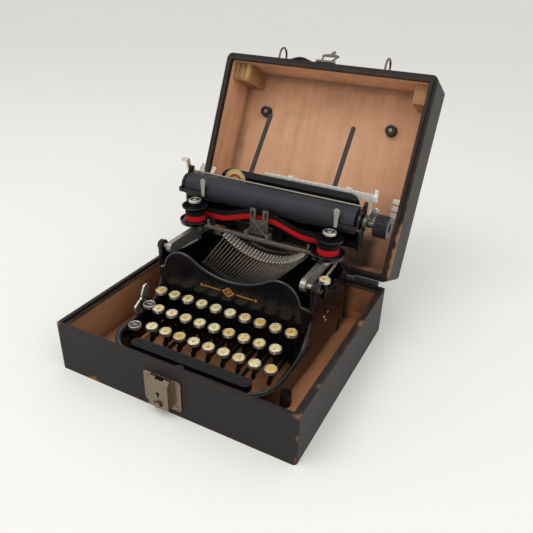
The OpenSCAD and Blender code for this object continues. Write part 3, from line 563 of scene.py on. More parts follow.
def bare_wood(fin, tone):
    """Sawn softwood of the corner blocks."""
    rings = fin.noise(160.0, 5.0, 0.6, stretch=(1.0, 0.15, 0.15))
    fine = fin.noise(700.0, 3.0, 0.6, stretch=(1.0, 0.1, 0.1))
    colour = fin.varied(rings.ease(0.3, 0.7), tone, 1.1, 0.55)
    return fin.done(Base_Color=colour, Roughness=0.7 + fine * 0.15,
                    Normal=fin.bump(rings + fine, 0.00008))


def pale_floor(fin, tone):
    """The floor: pale, finely woven, with a faint glow that only the picture sees."""
    weave = fin.noise(260.0, 2.0, 0.5, stretch=(1.0, 0.3, 1.0))
    colour = fin.blend(fin.noise(3.0, 2.0, 0.5), tint(tone, 0.97), tone)
    glow = fin.blend(fin.seen(), (0.0, 0.0, 0.0), tint(tone, 0.13))
    return fin.done(Base_Color=colour, Roughness=0.9, Emission_Color=glow,
                    Emission_Strength=1.0, Normal=fin.bump(weave, 0.00008))


# a colour of the property group, made lighter or darker
Tone = collections.namedtuple("Tone", "name amount", defaults=(1.0,))

# every finish of the part: what makes it, and with which colours and settings
RECIPES = {
    "tray_cloth": (case_cloth, False),
    "lid_cloth": (case_cloth, True),
    "block_wood": (bare_wood, Tone("wood")),
    "strap_leather": (hide, Tone("leather")),
    "strap_thread": (waxed_thread, screen(92, 84, 74)),
    "aged_nickel": (plated, screen(132, 118, 100), 1.0),
    "worn_iron": (plated, screen(100, 91, 80), 1.0),
    "bright_nickel": (plated, Tone("nickel"), 0.7),
    # the segment's lands: nickel brightened and made less metallic, a painted sheen
    "satin_nickel": (plated, Tone("nickel", 1.15), 0.2, None, 0.4),
    "finger_nickel": (plated, Tone("nickel", 0.55), 0.6, None, 0.6),
    "fold_nickel": (plated, Tone("nickel", 0.46), 0.9, works, 0.7),
    # the margin rail: nickel whitened and made less metallic, a painted highlight
    "rail_nickel": (plated, screen(232, 229, 222), 0.08, graduation, 0.25),
    "screw_steel": (plated, Tone("steel", 0.9), 0.8),
    "bar_steel": (plated, Tone("steel", 0.9), 0.4, basket_shade, 0.6),
    "dark_steel": (plated, Tone("steel", 0.12), 1.0),
    "vibrator_steel": (plated, Tone("steel", 0.36), 0.9),
    "rod_steel": (plated, Tone("steel", 0.5), 0.4, None, 0.6),
    "enamel": (enamelled, Tone("enamel"), 0.08),
    "panel_enamel": (enamelled, Tone("enamel"), 0.17, lozenge_mark),
    "bead_enamel": (enamelled, Tone("enamel"), 0.04, None, 0.7),
    "table_enamel": (enamelled, Tone("enamel"), 0.07, ring_mark),
    "rest_enamel": (enamelled, Tone("enamel"), 0.42),
    "spool_enamel": (enamelled, Tone("enamel", 1.2), 0.14),
    "buffer_rubber": (rubbered, Tone("rubber", 0.55), 0.32),
    "foot_rubber": (rubbered, Tone("rubber", 0.4), 0.55),
    "bar_rubber": (rubbered, screen(17, 16, 18), 0.20),
    "platen_rubber": (platen_roll, Tone("rubber"), Tone("steel", 0.22)),
    "inked_ribbon": (inked_cloth, Tone("ribbon_red"), Tone("ribbon_black")),
    "key_face_0": (key_face, Tone("key")),
    "key_face_1": (key_face, screen(240, 224, 166)),
    "key_face_2": (key_face, screen(226, 187, 98)),
    "key_face_black": (key_face, screen(34, 33, 34)),
    "legend_ink": (printed, Tone("legend")),
    "legend_silver": (printed, screen(196, 192, 180)),
}
for top in (*(row[2] for row in KEY_ROWS), BACKSPACE_AT[2]):
    ring_foot = (top + 4.02) * MM
    RECIPES[f"key_metal_{top}"] = (plated, Tone("nickel", 0.95), 0.6, below(ring_foot))


@functools.cache
def finish(name):
    """The material with that name, made once from its recipe."""
    looks = bpy.context.scene.typewriter_looks
    maker, *settings = RECIPES[name]
    return maker(Finish(bpy.data.materials.new(name)), *(
        tint(getattr(looks, s.name), s.amount) if isinstance(s, Tone) else s for s in settings))


def paint(look, *nodes):
    """Gives CAD nodes the finish with that name."""
    for node in nodes:
        slots = NODES[node].data.materials
        slots.clear()
        slots.append(finish(look))


def new_piece(name, mesh, body, look, slot, place=None, sharp=40.0):
    """Sets a bmesh up as a piece in its place, with a finish, riding on a body."""
    if place is not None:
        shifted(mesh, place)
    bmesh.ops.recalc_face_normals(mesh, faces=mesh.faces)
    limit = math.radians(sharp)
    for line in mesh.edges:
        line.smooth = len(line.link_faces) != 2 or line.calc_face_angle(0.0) < limit
    for face in mesh.faces:
        face.smooth = True
    data = bpy.data.meshes.new(name)
    mesh.to_mesh(data)
    mesh.free()
    data.materials.append(finish(look))
    piece = bpy.data.objects.new(name, data)
    bpy.context.scene.collection.objects.link(piece)
    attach(piece, body)
    return piece


def shifted(mesh, matrix):
    """The same bmesh, moved by a matrix."""
    bmesh.ops.transform(mesh, matrix=matrix, verts=mesh.verts)
    return mesh


def joined(parts):
    """Several bmeshes as one, freeing them."""
    whole = bmesh.new()
    for part in parts:
        data = bpy.data.meshes.new("part")
        part.to_mesh(data)
        part.free()
        whole.from_mesh(data)
        bpy.data.meshes.remove(data)
    return whole


def box(low, high, bevel):
    """A box between two corners, with bevelled edges."""
    mesh = bmesh.new()
    bmesh.ops.create_cube(mesh, size=1.0)
    bmesh.ops.scale(mesh, vec=high - low, verts=mesh.verts)
    bmesh.ops.translate(mesh, vec=(low + high) / 2, verts=mesh.verts)
    bmesh.ops.bevel(mesh, geom=mesh.edges[:], offset=bevel, offset_type="OFFSET",
                    segments=2, profile=0.5, affect="EDGES", material=-1)
    return mesh


def turned(profile, steps=32):
    """A shape turned about Z from (radius, height) points in millimetres."""
    mesh = bmesh.new()
    points = [mesh.verts.new(mm(radius, 0, height)) for radius, height in profile]
    lines = [mesh.edges.new(pair) for pair in zip(points, points[1:])]
    bmesh.ops.spin(mesh, geom=points + lines, cent=(0, 0, 0), axis=(0, 0, 1),
                   angle=math.tau, steps=steps, use_merge=True)
    bmesh.ops.remove_doubles(mesh, verts=mesh.verts, dist=1e-6)
    bmesh.ops.recalc_face_normals(mesh, faces=mesh.faces)
    return mesh


def tube(points, radius, closed=False):
    """A round tube through points, from a bevelled curve."""
    curve = bpy.data.curves.new("tube", "CURVE")
    curve.dimensions = "3D"
    curve.bevel_depth = radius
    curve.bevel_resolution = 4
    curve.use_fill_caps = True
    spline = curve.splines.new("POLY")
    spline.points.add(len(points) - 1)
    for knot, point in zip(spline.points, points):
        knot.co = (*point, 1.0)
    spline.use_cyclic_u = closed
    return from_curve(curve)


def from_curve(curve):
    """A curve or text datablock as a bmesh."""
    holder = bpy.data.objects.new("holder", curve)
    data = bpy.data.meshes.new_from_object(holder)
    mesh = bmesh.new()
    mesh.from_mesh(data)
    bpy.data.objects.remove(holder)
    bpy.data.curves.remove(curve)
    bpy.data.meshes.remove(data)
    bmesh.ops.remove_doubles(mesh, verts=mesh.verts, dist=1e-6)
    return mesh


def lettering(words, size):
    """Plain thin letters, centred at the origin, lying in X and Y."""
    text = bpy.data.curves.new("letters", "FONT")
    text.body = words
    text.size = size * MM
    text.extrude = 0.02 * MM
    text.align_x = "CENTER"
    text.align_y = "CENTER"
    text.resolution_u = 2
    return from_curve(text)


def screw_head(radius, rise, slot_turn):
    """A slotted, rounded screw head on the plane Z = 0."""
    mesh = turned([(0, rise), (radius * 0.55, rise), (radius * 0.85, rise * 0.72),
                   (radius, rise * 0.25), (radius, -0.2), (0, -0.2)], 20)
    half = radius * 0.16 * MM
    for side in (-half, half):
        bmesh.ops.bisect_plane(mesh, geom=mesh.verts[:] + mesh.edges[:] + mesh.faces[:],
                               plane_co=(0, side, 0), plane_no=(0, 1, 0))
    top = [f for f in mesh.faces
           if abs(f.calc_center_median().y) < half and f.normal.z > 0.3]
    sunk = bmesh.ops.extrude_face_region(mesh, geom=top)["geom"]
    bmesh.ops.delete(mesh, geom=top, context="FACES")
    for vert in sunk:
        if isinstance(vert, bmesh.types.BMVert):
            vert.co.z = rise * 0.35 * MM
    return shifted(mesh, Matrix.Rotation(slot_turn, 4, "Z"))


def screws(places, radius, rise):
    """Screw heads at (point in mm, outward axis) places, their slots turned every way."""
    heads = []
    for step, (point, axis) in enumerate(places):
        facing = Vector(axis).to_track_quat("Z", "Y").to_matrix().to_4x4()
        head = screw_head(radius, rise, 0.7 + 1.9 * step)
        heads.append(shifted(head, to(*point) @ facing))
    return joined(heads)


def swept(section, stations):
    """A closed section, in X and Y, carried through a row of stations by extrusion."""
    mesh = bmesh.new()
    ring = [mesh.verts.new(stations[0] @ Vector((x, y, 0))) for x, y in section]
    lines = [mesh.edges.new((a, b)) for a, b in zip(ring, ring[1:] + ring[:1])]
    for before, after in zip(stations, stations[1:]):
        made = bmesh.ops.extrude_edge_only(mesh, edges=lines)["geom"]
        lines = [g for g in made if isinstance(g, bmesh.types.BMEdge)]
        verts = [g for g in made if isinstance(g, bmesh.types.BMVert)]
        bmesh.ops.transform(mesh, matrix=after @ before.inverted(), verts=verts)
    bmesh.ops.holes_fill(mesh, edges=mesh.edges, sides=0)
    return mesh


def lengthwise(profile, places):
    """A profile of (y, z) points in mm, carried along X from place to place."""
    return swept([(-z * MM, y * MM) for y, z in profile],
                 [to(x, 0, 0) @ ALONG_X for x in places])


def blade(points, half_w, half_t, tip, foot=1.0, wide=(1, 0, 0)):
    """A flat strip bent through points in mm, its width along wide, with a round tip."""
    places = [mm(*point) for point in points]
    ends = zip([places[0]] + places[:-1], places[1:] + [places[-1]])
    stations = []
    for place, (before, after) in zip(places, ends):
        along = (after - before).normalized()
        out = along.cross(Vector(wide)).normalized()
        facing = Matrix((out.cross(along), out, along)).transposed().to_4x4()
        share = foot + (1.0 - foot) * len(stations) / (len(places) - 1)
        stations.append(Matrix.Translation(place) @ facing @ scaled(share))
    last = stations[-1] = stations[-1] @ scaled(tip / half_w)
    for angle in (0.5, 0.9, 1.25, 1.5):
        ahead = to(0, 0, tip * math.sin(angle))
        stations.append(last @ ahead @ scaled(math.cos(angle)))
    return swept(flat_section(half_w, half_t), stations)


def flat_section(half_w, half_t):
    """A flat section with rounded edges and a slight crown, in metres."""
    points = []
    for step in range(24):
        a = math.tau * step / 24
        c, s = math.cos(a), math.sin(a)
        wide = math.copysign(abs(c) ** 0.35, c)
        thick = math.copysign(abs(s) ** 0.6, s)
        points.append((half_w * wide * MM, half_t * thick * MM))
    return points


def colour_prop(label, note, value):
    """A colour property."""
    return bpy.props.FloatVectorProperty(name=label, description=note, subtype="COLOR", size=3,
                                         min=0.0, max=1.0, default=value)


def number_prop(label, note, value, **more):
    """A number property, with its limits, unit or subtype."""
    return bpy.props.FloatProperty(name=label, description=note, default=value, **more)


class TypewriterLooks(bpy.types.PropertyGroup):
    """Colours and fine sizes of the typewriter and its case"""

    cloth: colour_prop("Cloth", "Leathercloth of the case", screen(32, 27, 29))
    worn: colour_prop("Worn edge", "Board that shows where the cloth is rubbed off",
                      screen(150, 116, 84))
    lining: colour_prop("Lid lining", "Brown paper inside the lid", screen(220, 171, 135))
    # the tray's paper: redder than the lid's, and darker partly as painted shade
    shaded_tray_lining: colour_prop("Tray lining", "Darker brown paper inside the tray",
                              screen(186, 130, 92))
    enamel: colour_prop("Enamel", "Black enamel of the machine", screen(15, 14, 16))
    nickel: colour_prop("Nickel", "Plated parts", screen(206, 202, 192))
    steel: colour_prop("Steel", "Typebars and segment", screen(178, 172, 158))
    rubber: colour_prop("Rubber", "Platen, feet and buffers", screen(40, 39, 46))
    key: colour_prop("Key face", "Yellowed key tops", screen(234, 211, 140))
    legend: colour_prop("Legend", "Letters on the key tops", screen(44, 38, 30))
    leather: colour_prop("Leather", "Carrying strap", screen(36, 36, 46))
    ribbon_red: colour_prop("Ribbon red", "Lower half of the ribbon", screen(214, 22, 34))
    ribbon_black: colour_prop("Ribbon black", "Upper half of the ribbon", screen(16, 15, 17))
    gold: colour_prop("Gilding", "Gilt ornament", screen(196, 142, 62))
    wood: colour_prop("Wood", "Corner blocks in the lid", screen(186, 142, 92))
    bead: number_prop("Rim bead", "Radius of the bead along the casting's edge", 0.0016,
                      min=0.001, max=0.0022, unit="LENGTH")
    stitch: number_prop("Stitch spacing", "Distance between stitches of the strap", 0.0036,
                        min=0.002, max=0.008, unit="LENGTH")
    tape: number_prop("Ribbon width", "Width of the inked ribbon", 0.0126,
                      min=0.011, max=0.013, unit="LENGTH")


class TypewriterStage(bpy.types.PropertyGroup):
    """Camera, light and floor"""

    eye: bpy.props.FloatVectorProperty(
        name="Eye", description="Place of the camera", subtype="TRANSLATION", unit="LENGTH",
        default=(0.27807, -0.46556, 0.41072))
    azimuth: number_prop("Azimuth", "Turn of the view about the upright axis",
                         math.radians(26.709), subtype="ANGLE")
    elevation: number_prop("Elevation", "Angle of the view above level",
                           math.radians(28.945), subtype="ANGLE")
    roll: number_prop("Roll", "Turn of the camera about its own axis",
                      math.radians(1.938), subtype="ANGLE")
    lens: number_prop("Lens", "Focal length on a 36 mm sensor", 37.63,
                      min=10.0, max=200.0, subtype="DISTANCE_CAMERA")
    lamp: number_prop("Key light", "Power of the large soft lamp", 11.0, unit="POWER")
    fill: number_prop("Fill light", "Power of the smaller side lamp", 4.0, unit="POWER")
    room: number_prop("Room light", "Strength of the even light all round", 0.68, min=0.0, max=2.0)
    backdrop: number_prop("Backdrop", "How pale the room looks beyond the floor", 0.86,
                          min=0.0, max=1.0)
    floor: colour_prop("Floor", "Colour of the floor", screen(236, 235, 232))


class TYPEWRITER_OT_case(bpy.types.Operator):
    """Covers the case, lines it, and adds its screws and the tape along its hinge line"""
    bl_idname = "typewriter.case"
    bl_label = "Case"

    def execute(self, context):
        paint("tray_cloth", "case_tray")
        paint("lid_cloth", "case_lid")
        paint("aged_nickel", "tray_hinges", "lock_case", "lock_button")
        paint("worn_iron", "lid_fittings", "lock_hasp")
        paint("bright_nickel", "accessory_clip")
        paint("buffer_rubber", "lid_buffers")

        plate = 1.5
        to_front, to_back, down = (0, -1, 0), (0, 1, 0), (0, 0, -1)
        lock = [((LOCK_X + x, FRONT - plate, LOCK_TOP - z), to_front)
                for x in (-18, 18) for z in (6, 32)]
        lid, hinges, buffers = [], [], []
        for side in (-1, 1):
            lid += [((LOCK_X + side * LOOP_X, FRONT - plate, STRAP_Z + up), to_front)
                    for up in (-6, 6)]
            for leaf, up in ((lid, 14), (hinges, -14)):
                leaf.extend(((side * HINGE_X + x, BACK + plate, HINGE_Z + up), to_back)
                            for x in (-11, 11))
            lid.append(((LOCK_X + side * 7, FRONT - plate, 80.5), to_front))
            buffers.append(((side * 93.5 - 5, -65, 116), down))
        roll = 3.7
        edge = [(BACK + 0.15, 46), (BACK + 1.0, 46), (BACK + 1.6, 54)]
        edge += arc((HINGE_Y, HINGE_Z), (roll, roll), -115, 275, 11)
        edge.append((BACK + 0.15, 59.8))
        tapes = [lengthwise(edge, ends) for ends in ((-134, -103), (-67, 67), (103, 134))]

        nickel = ("aged_nickel", "nickel")
        new_piece("lock_screws", screws(lock, 2.0, 0.7), "base", *nickel)
        new_piece("lid_screws", screws(lid, 1.7, 0.6), "lid", *nickel, LID)
        new_piece("hinge_screws", screws(hinges, 1.7, 0.6), "base", *nickel)
        new_piece("hinge_tape", joined(tapes), "base", "strap_leather", "leather")
        new_piece("buffer_screws", screws(buffers, 3.2, 0.8), "lid", *nickel, LID)
        return {"FINISHED"}


class TYPEWRITER_OT_blocks(bpy.types.Operator):
    """Makes the sawn wooden blocks in the lid's front corners"""
    bl_idname = "typewriter.blocks"
    bl_label = "Corner blocks"

    def execute(self, context):
        skin, front, low, floor = 0.12, -118, 72, 124
        for name, left, right, back in (("block_left", -136, -111, -95),
                                        ("block_right", 118, 136, -94)):
            block = box(mm(left - skin, front, low - skin),
                        mm(right + skin, back + skin, floor), 0.0007)
            new_piece(name, block, "lid", "block_wood", "case_board", LID)
        slats = [box(mm(x - 3.2, -116.85, 70.4), mm(x + 3.2, -96.35, 72.8), 0.0006)
                 for x in (-131.5, -123.4, -115.3)]
        new_piece("block_slats", joined(slats), "lid", "block_wood", "case_board", LID)
        return {"FINISHED"}


class TYPEWRITER_OT_handle(bpy.types.Operator):
    """Sews the leather strap that runs through the two wire loops"""
    bl_idname = "typewriter.handle"
    bl_label = "Carrying strap"

    def execute(self, context):
        looks = context.scene.typewriter_looks
        reach, half_w, half_t, stand_off, count = 91.0, 9.0, 1.5, 3.9, 64
        stations = []
        for step in range(count + 1):
            t = step / count * 2 - 1
            tip = min(1.0, (1.0 - abs(t)) * 16.0)
            narrow = max(0.12, math.sqrt(max(0.0, 1.0 - (1.0 - tip) ** 2)))
            at = to(LOCK_X + t * reach, FRONT - stand_off - self.arch(t * reach), STRAP_Z)
            stations.append(at @ ALONG_X @ scaled(narrow, 0.82 + 0.18 * narrow))
        strap = swept(flat_section(half_w, half_t), stations)
        piece = new_piece("strap", strap, "handle", "strap_leather", "leather", LID, 60.0)
        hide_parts("carry_handle")
        sewn, seam, thread_off = reach - half_w, 6.6, 5.05
        stitches = []
        for step in range(int(2 * sewn * MM / looks.stitch) + 1):
            x = step * looks.stitch / MM - sewn
            for z in (-seam, seam):
                stitch = bmesh.new()
                bmesh.ops.create_cube(stitch, size=1.0)
                bmesh.ops.bevel(stitch, geom=stitch.edges[:], offset=0.3, segments=1,
                                profile=0.5, affect="EDGES", material=-1)
                bmesh.ops.scale(stitch, vec=mm(2.3, 0.5, 0.7), verts=stitch.verts)
                at = to(LOCK_X + x, FRONT - thread_off - self.arch(x), STRAP_Z + z)
                stitches.append(shifted(stitch, at))
        new_piece("strap_stitches", joined(stitches), "handle", "strap_thread", "leather", LID)
        return {"FINISHED"}

    @staticmethod
    def arch(x):
        """How far the strap stands off the lid, in millimetres from its middle."""
        left, right = math.exp(-((x + 44) / 16) ** 2), math.exp(-((x - 40) / 20) ** 2)
        return 6.6 * left + 2.0 * right


class TYPEWRITER_OT_hasp(bpy.types.Operator):
    """Forges the hasp: a barrel, two bowed legs, a crescent plate and a tongue"""
    bl_idname = "typewriter.hasp"
    bl_label = "Hasp"

    def execute(self, context):
        barrel = turned([(0, -6.7), (2.1, -6.7), (2.4, -6.4), (2.4, 6.4), (2.1, 6.7), (0, 6.7)],
                        28)
        parts = [shifted(barrel, ALONG_X)]
        for x in (-1, 1):
            parts.append(blade([(x * 5.0, 0, -0.5), (x * 7.2, -0.3, -6), (x * 8.9, -0.3, -12),
                                (x * 9.2, 0, -17.4)], 1.35, 0.85, 1.3))
        stations = []
        for step in range(25):
            t = step / 12 - 1
            tall = max(0.08, (1 - t * t) ** 0.6)
            stations.append(to(12 * t, 0, -20.4 + 2.2 * t * t) @ ALONG_X
                            @ scaled(tall, 0.7 + 0.3 * tall))
        parts.append(swept(flat_section(4.0, 0.95), stations))
        parts.append(blade([(0, 0, -21), (0, 0, -26), (0, 0, -30.4)], 3.1, 0.8, 2.4))
        pin_off, pin_z, raised = 3.4, 69, -140
        place = LID @ to(LOCK_X, FRONT - pin_off, pin_z) @ turn(raised, "X")
        piece = new_piece("hasp_bail", joined(parts), "hasp", "worn_iron", "nickel", place)
        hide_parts("lock_hasp")
        return {"FINISHED"}


def bead_path():
    """Points along the casting's edge: keyboard rim, side sweeps, shoulders and panel top."""
    side_x, rim_z, panel_y = 97.5, 34, -10
    corner_r, sweep_r, hump_r, dip_r = 35.5, 42, 24, 88.53
    shoulder_x, shoulder_y, shoulder_r = 86, 2, 12
    right = [(x, y, rim_z) for x, y in arc((62, -74), (corner_r, corner_r), -90, 90, 12)]
    right += [(side_x, y, rim_z) for y in (-66, -58, -51)]
    right += [(side_x, y, z) for y, z in arc((-44, 76), (sweep_r, sweep_r), -90, 82, 14)]
    for x, z in arc((shoulder_x, 69), (13, 14), 20, 70, 8, 1):
        away = min(shoulder_r - 0.1, max(0.0, x - shoulder_x))
        right.append((x, shoulder_y - math.sqrt(shoulder_r ** 2 - away ** 2), z))
    right += [(x, panel_y, z) for x, z in arc((62, 83), (hump_r, hump_r), 0, 132, 18, 1)]
    start = math.degrees(math.asin(45.0 / dip_r))
    right += [(x, panel_y, z)
              for x, z in arc((0, 176.53), (dip_r, dip_r), start - 90, -start, 12, 1)]
    half = [mm(*p) for p in right]
    for _ in range(2):
        half[1:-1] = [(a + b * 2 + c) / 4 for a, b, c in zip(half, half[1:], half[2:])]
    mirrored = [Vector((-p.x, p.y, p.z)) for p in half]
    return half + mirrored[-2::-1]


class TYPEWRITER_OT_casting(bpy.types.Operator):
    """Enamels the base casting and adds its bead, screws and hinge barrels"""
    bl_idname = "typewriter.casting"
    bl_label = "Base casting"

    def execute(self, context):
        looks = context.scene.typewriter_looks
        paint("panel_enamel", "base_frame")
        paint("foot_rubber", "rubber_feet")
        bead = tube(bead_path(), looks.bead, closed=True)
        new_piece("rim_bead", bead, "base", "bead_enamel", "frame_enamel", MACHINE, 60.0)
        places = [((side * 100, y, z), (side, 0, 0))
                  for side in (1, -1) for y, z in ((30, 52), (42, 52), (36, 44))]
        new_piece("casting_screws", screws(places, 1.9, 0.8), "base", "screw_steel", "nickel",
                  MACHINE)
        barrels = []
        for side in (-1, 1):
            barrel = turned([(0, 94.8), (6.2, 94.8), (6.75, 95.2), (6.75, 100.4), (6.2, 101.1),
                             (4.6, 101.5), (3.9, 101.2), (0, 101.2)], 40)
            barrels.append(shifted(barrel, to(0, 2, 104) @ turn(side * 90, "Y")))
        new_piece("fold_barrels", joined(barrels), "base", "enamel", "enamel", MACHINE)
        return {"FINISHED"}


class TYPEWRITER_OT_keys(bpy.types.Operator):
    """Fits every key with its face and legend, and the space bar with its ribs"""
    bl_idname = "typewriter.keys"
    bl_label = "Keys"

    def execute(self, context):
        for names, figures, tones, (x0, y, top) in zip(KEY_NAMES, KEY_FIGURES, KEY_TONES,
                                                       KEY_ROWS):
            for column, (name, figure, tone) in enumerate(zip(names, figures, tones)):
                node = f"key_{name}"
                legend = (name.upper(), figure) if len(name) == 1 else (figure, "")
                self.face(node, node, (x0 + KEY_PITCH * column, y, top), LETTER_R,
                          f"key_face_{tone}", "legend_ink", *legend)
        for node, body, word, *at in BLACK_KEYS:
            self.face(node, body, at, SHIFT_R, "key_face_black", "legend_silver", word)
        self.face("backspace_key", "backspace", BACKSPACE_AT, BACKSPACE_R, "key_face_0",
                  "legend_ink", "BS")
        paint("bar_rubber", "space_bar")
        bar_y, bar_top = -91, 34
        ribs = []
        for across in (-4.4, -2.2, 0.0, 2.2, 4.4):
            reach = 65.8 + math.sqrt(46.2 - across ** 2)
            ribs.append(tube([mm(x, bar_y + across, bar_top) for x in (-reach, reach)], 0.0007))
        new_piece("space_bar_ribs", joined(ribs), "space", "bar_rubber", "enamel", MACHINE, 60.0)
        return {"FINISHED"}

    def face(self, node, body, at, radius, look, ink, letter, small=""):
        """Plates one key and adds its domed disc, with a legend just proud of it."""
        x, y, top = at
        paint(f"key_metal_{top}", node)
        slot = "key_top" if node.startswith(("key_", "back")) else "enamel"
        disc = turned([(0, -0.42), (radius * 0.72, -0.46), (radius * 0.93, -0.62),
                       (radius, -0.95), (radius, -1.05), (0, -1.05)], 36)
        new_piece(f"{node}_face", disc, body, look, slot, MACHINE @ to(x, y, top))
        size = {1: 6.4, 2: 5.0, 3: 3.4}[len(letter)]
        marks = [lettering(letter, size)]
        if small:
            shifted(marks[0], to(0, -1.0, 0))
            marks.append(shifted(lettering(small, 3.0), to(0, 3.2, 0)))
        new_piece(f"{node}_legend", joined(marks), body, ink, slot,
                  MACHINE @ to(x, y, top - 0.43))


class TYPEWRITER_OT_type_basket(bpy.types.Operator):
    """Finishes the typebars, their segment and the shift lock"""
    bl_idname = "typewriter.type_basket"
    bl_label = "Type basket"

    def execute(self, context):
        paint("bar_steel", "typebars")
        paint("dark_steel", "key_fulcrum", "type_segment")
        paint("bright_nickel", "shift_lock_lever")
        count, spacing, radius, middle, lean = 29, 3.4, 73.4, (0, 67, 150), 13
        lands = []
        for step in range(count):
            land = turned([(0, 3.3), (0.7, 3.2), (1.2, 2.7), (1.35, 2.0), (1.35, -10.2),
                           (1.2, -11.2), (0.7, -11.9), (0, -12.0)], 12)
            about = turn((step - count // 2) * spacing, "Y")
            lands.append(shifted(land, about @ to(0, 0, -radius) @ turn(-90, "X")))
        place = MACHINE @ to(*middle) @ turn(lean, "X")
        new_piece("segment_lands", joined(lands), "base", "satin_nickel", "steel", place)
        return {"FINISHED"}


class TYPEWRITER_OT_ribbon(bpy.types.Operator):
    """Threads the two-colour ribbon from spool to spool"""
    bl_idname = "typewriter.ribbon"
    bl_label = "Ribbon and spools"

    # in millimetres: the spools, and the ribbon's course between them
    spool_x, spool_y, spool_z = 88, 57, 117.35
    end_y, forward, end_z, lift = 69.6, 7.0, 125.6, 14.0
    pack_low, pack_tall = 1.75, 12.85
    knob = ((0, 27.3), (2.6, 27.3), (3.2, 26.9), (5.0, 26.9), (5.6, 27.4), (7.2, 27.35),
            (7.9, 26.8), (7.9, 24.3), (7.3, 23.8), (4.1, 23.7), (4.1, 22.0), (0, 22.0))
    dish = ((3.0, -3.2), (16.2, -3.2), (18.6, -2.0), (19.2, 2.0), (18.5, 2.5),
            (17.7, 2.0), (17.2, -0.23), (3.0, -0.23), (3.0, -3.2))

    def execute(self, context):
        looks = context.scene.typewriter_looks
        mesh = bmesh.new()
        mesh.loops.layers.uv.new("UVMap")
        bmesh.ops.create_grid(mesh, x_segments=120, y_segments=6, size=1.0, calc_uvs=True)
        for vert in mesh.verts:
            t, up = vert.co.x, vert.co.y
            lean = mm(0, 0.2 * up * math.sin(14.0 * t), 0)
            vert.co = self.course(t) + lean + Vector((0, 0, up * looks.tape / 2))
        run = [self.course(step / 60 - 1) for step in range(121)]
        band = new_piece("ribbon_run", mesh, "fold", "inked_ribbon", "ribbon", MACHINE, 80.0)
        thick = band.modifiers.new("Thickness", "SOLIDIFY")
        thick.thickness = 0.00012
        thick.offset = 0.0
        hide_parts("ribbon")
        for side, name in ((-1, "left"), (1, "right")):
            paint("spool_enamel", f"spool_{name}")
            place = MACHINE @ to(side * self.spool_x, self.spool_y, self.spool_z)
            new_piece(f"ribbon_pack_{name}", self.pack(), f"{name}_spool", "inked_ribbon",
                      "ribbon", place)
            new_piece(f"spool_knob_{name}", turned(self.knob, 40), f"{name}_spool",
                      "bright_nickel", "nickel", place)
            new_piece(f"spool_dish_{name}", turned(self.dish, 56), "fold", "spool_enamel",
                      "enamel", place)
        return {"FINISHED"}

    def pack(self):
        """The wound ribbon on a spool, with its turns showing on top."""
        inner, outer, low = 8.3, 12.35, self.pack_low
        profile = []
        for step in range(9):
            r = inner + step * 0.5
            profile += [(r, 14.7), (r + 0.25, 14.9 if step % 2 else 14.6), (r + 0.45, 14.7)]
        profile += [(outer, 14.6), (outer, low), (inner, low), profile[0]]
        pack = turned(profile, 48)
        uv = pack.loops.layers.uv.new("UVMap")
        for face in pack.faces:
            for loop in face.loops:
                p = loop.vert.co / MM
                loop[uv].uv = (math.atan2(p.y, p.x) / math.tau * 0.8, (p.z - low) / self.pack_tall)
        return pack

    @staticmethod
    def ease(t):
        """A smooth step from 0 to 1."""
        t = max(0.0, min(1.0, t))
        return t * t * (3 - 2 * t)

    def course(self, t):
        """Middle of the ribbon, from the left spool at -1 to the right one at 1."""
        side = abs(t)
        rise = 1.0 - self.ease((side - 0.10) / 0.62)
        wave = 0.35 * math.sin(9.0 * t) * (1.0 - side)
        y = self.end_y - self.forward * self.ease((1.0 - side) / 0.8) + wave
        return mm(self.spool_x * t, y, self.end_z + self.lift * rise)


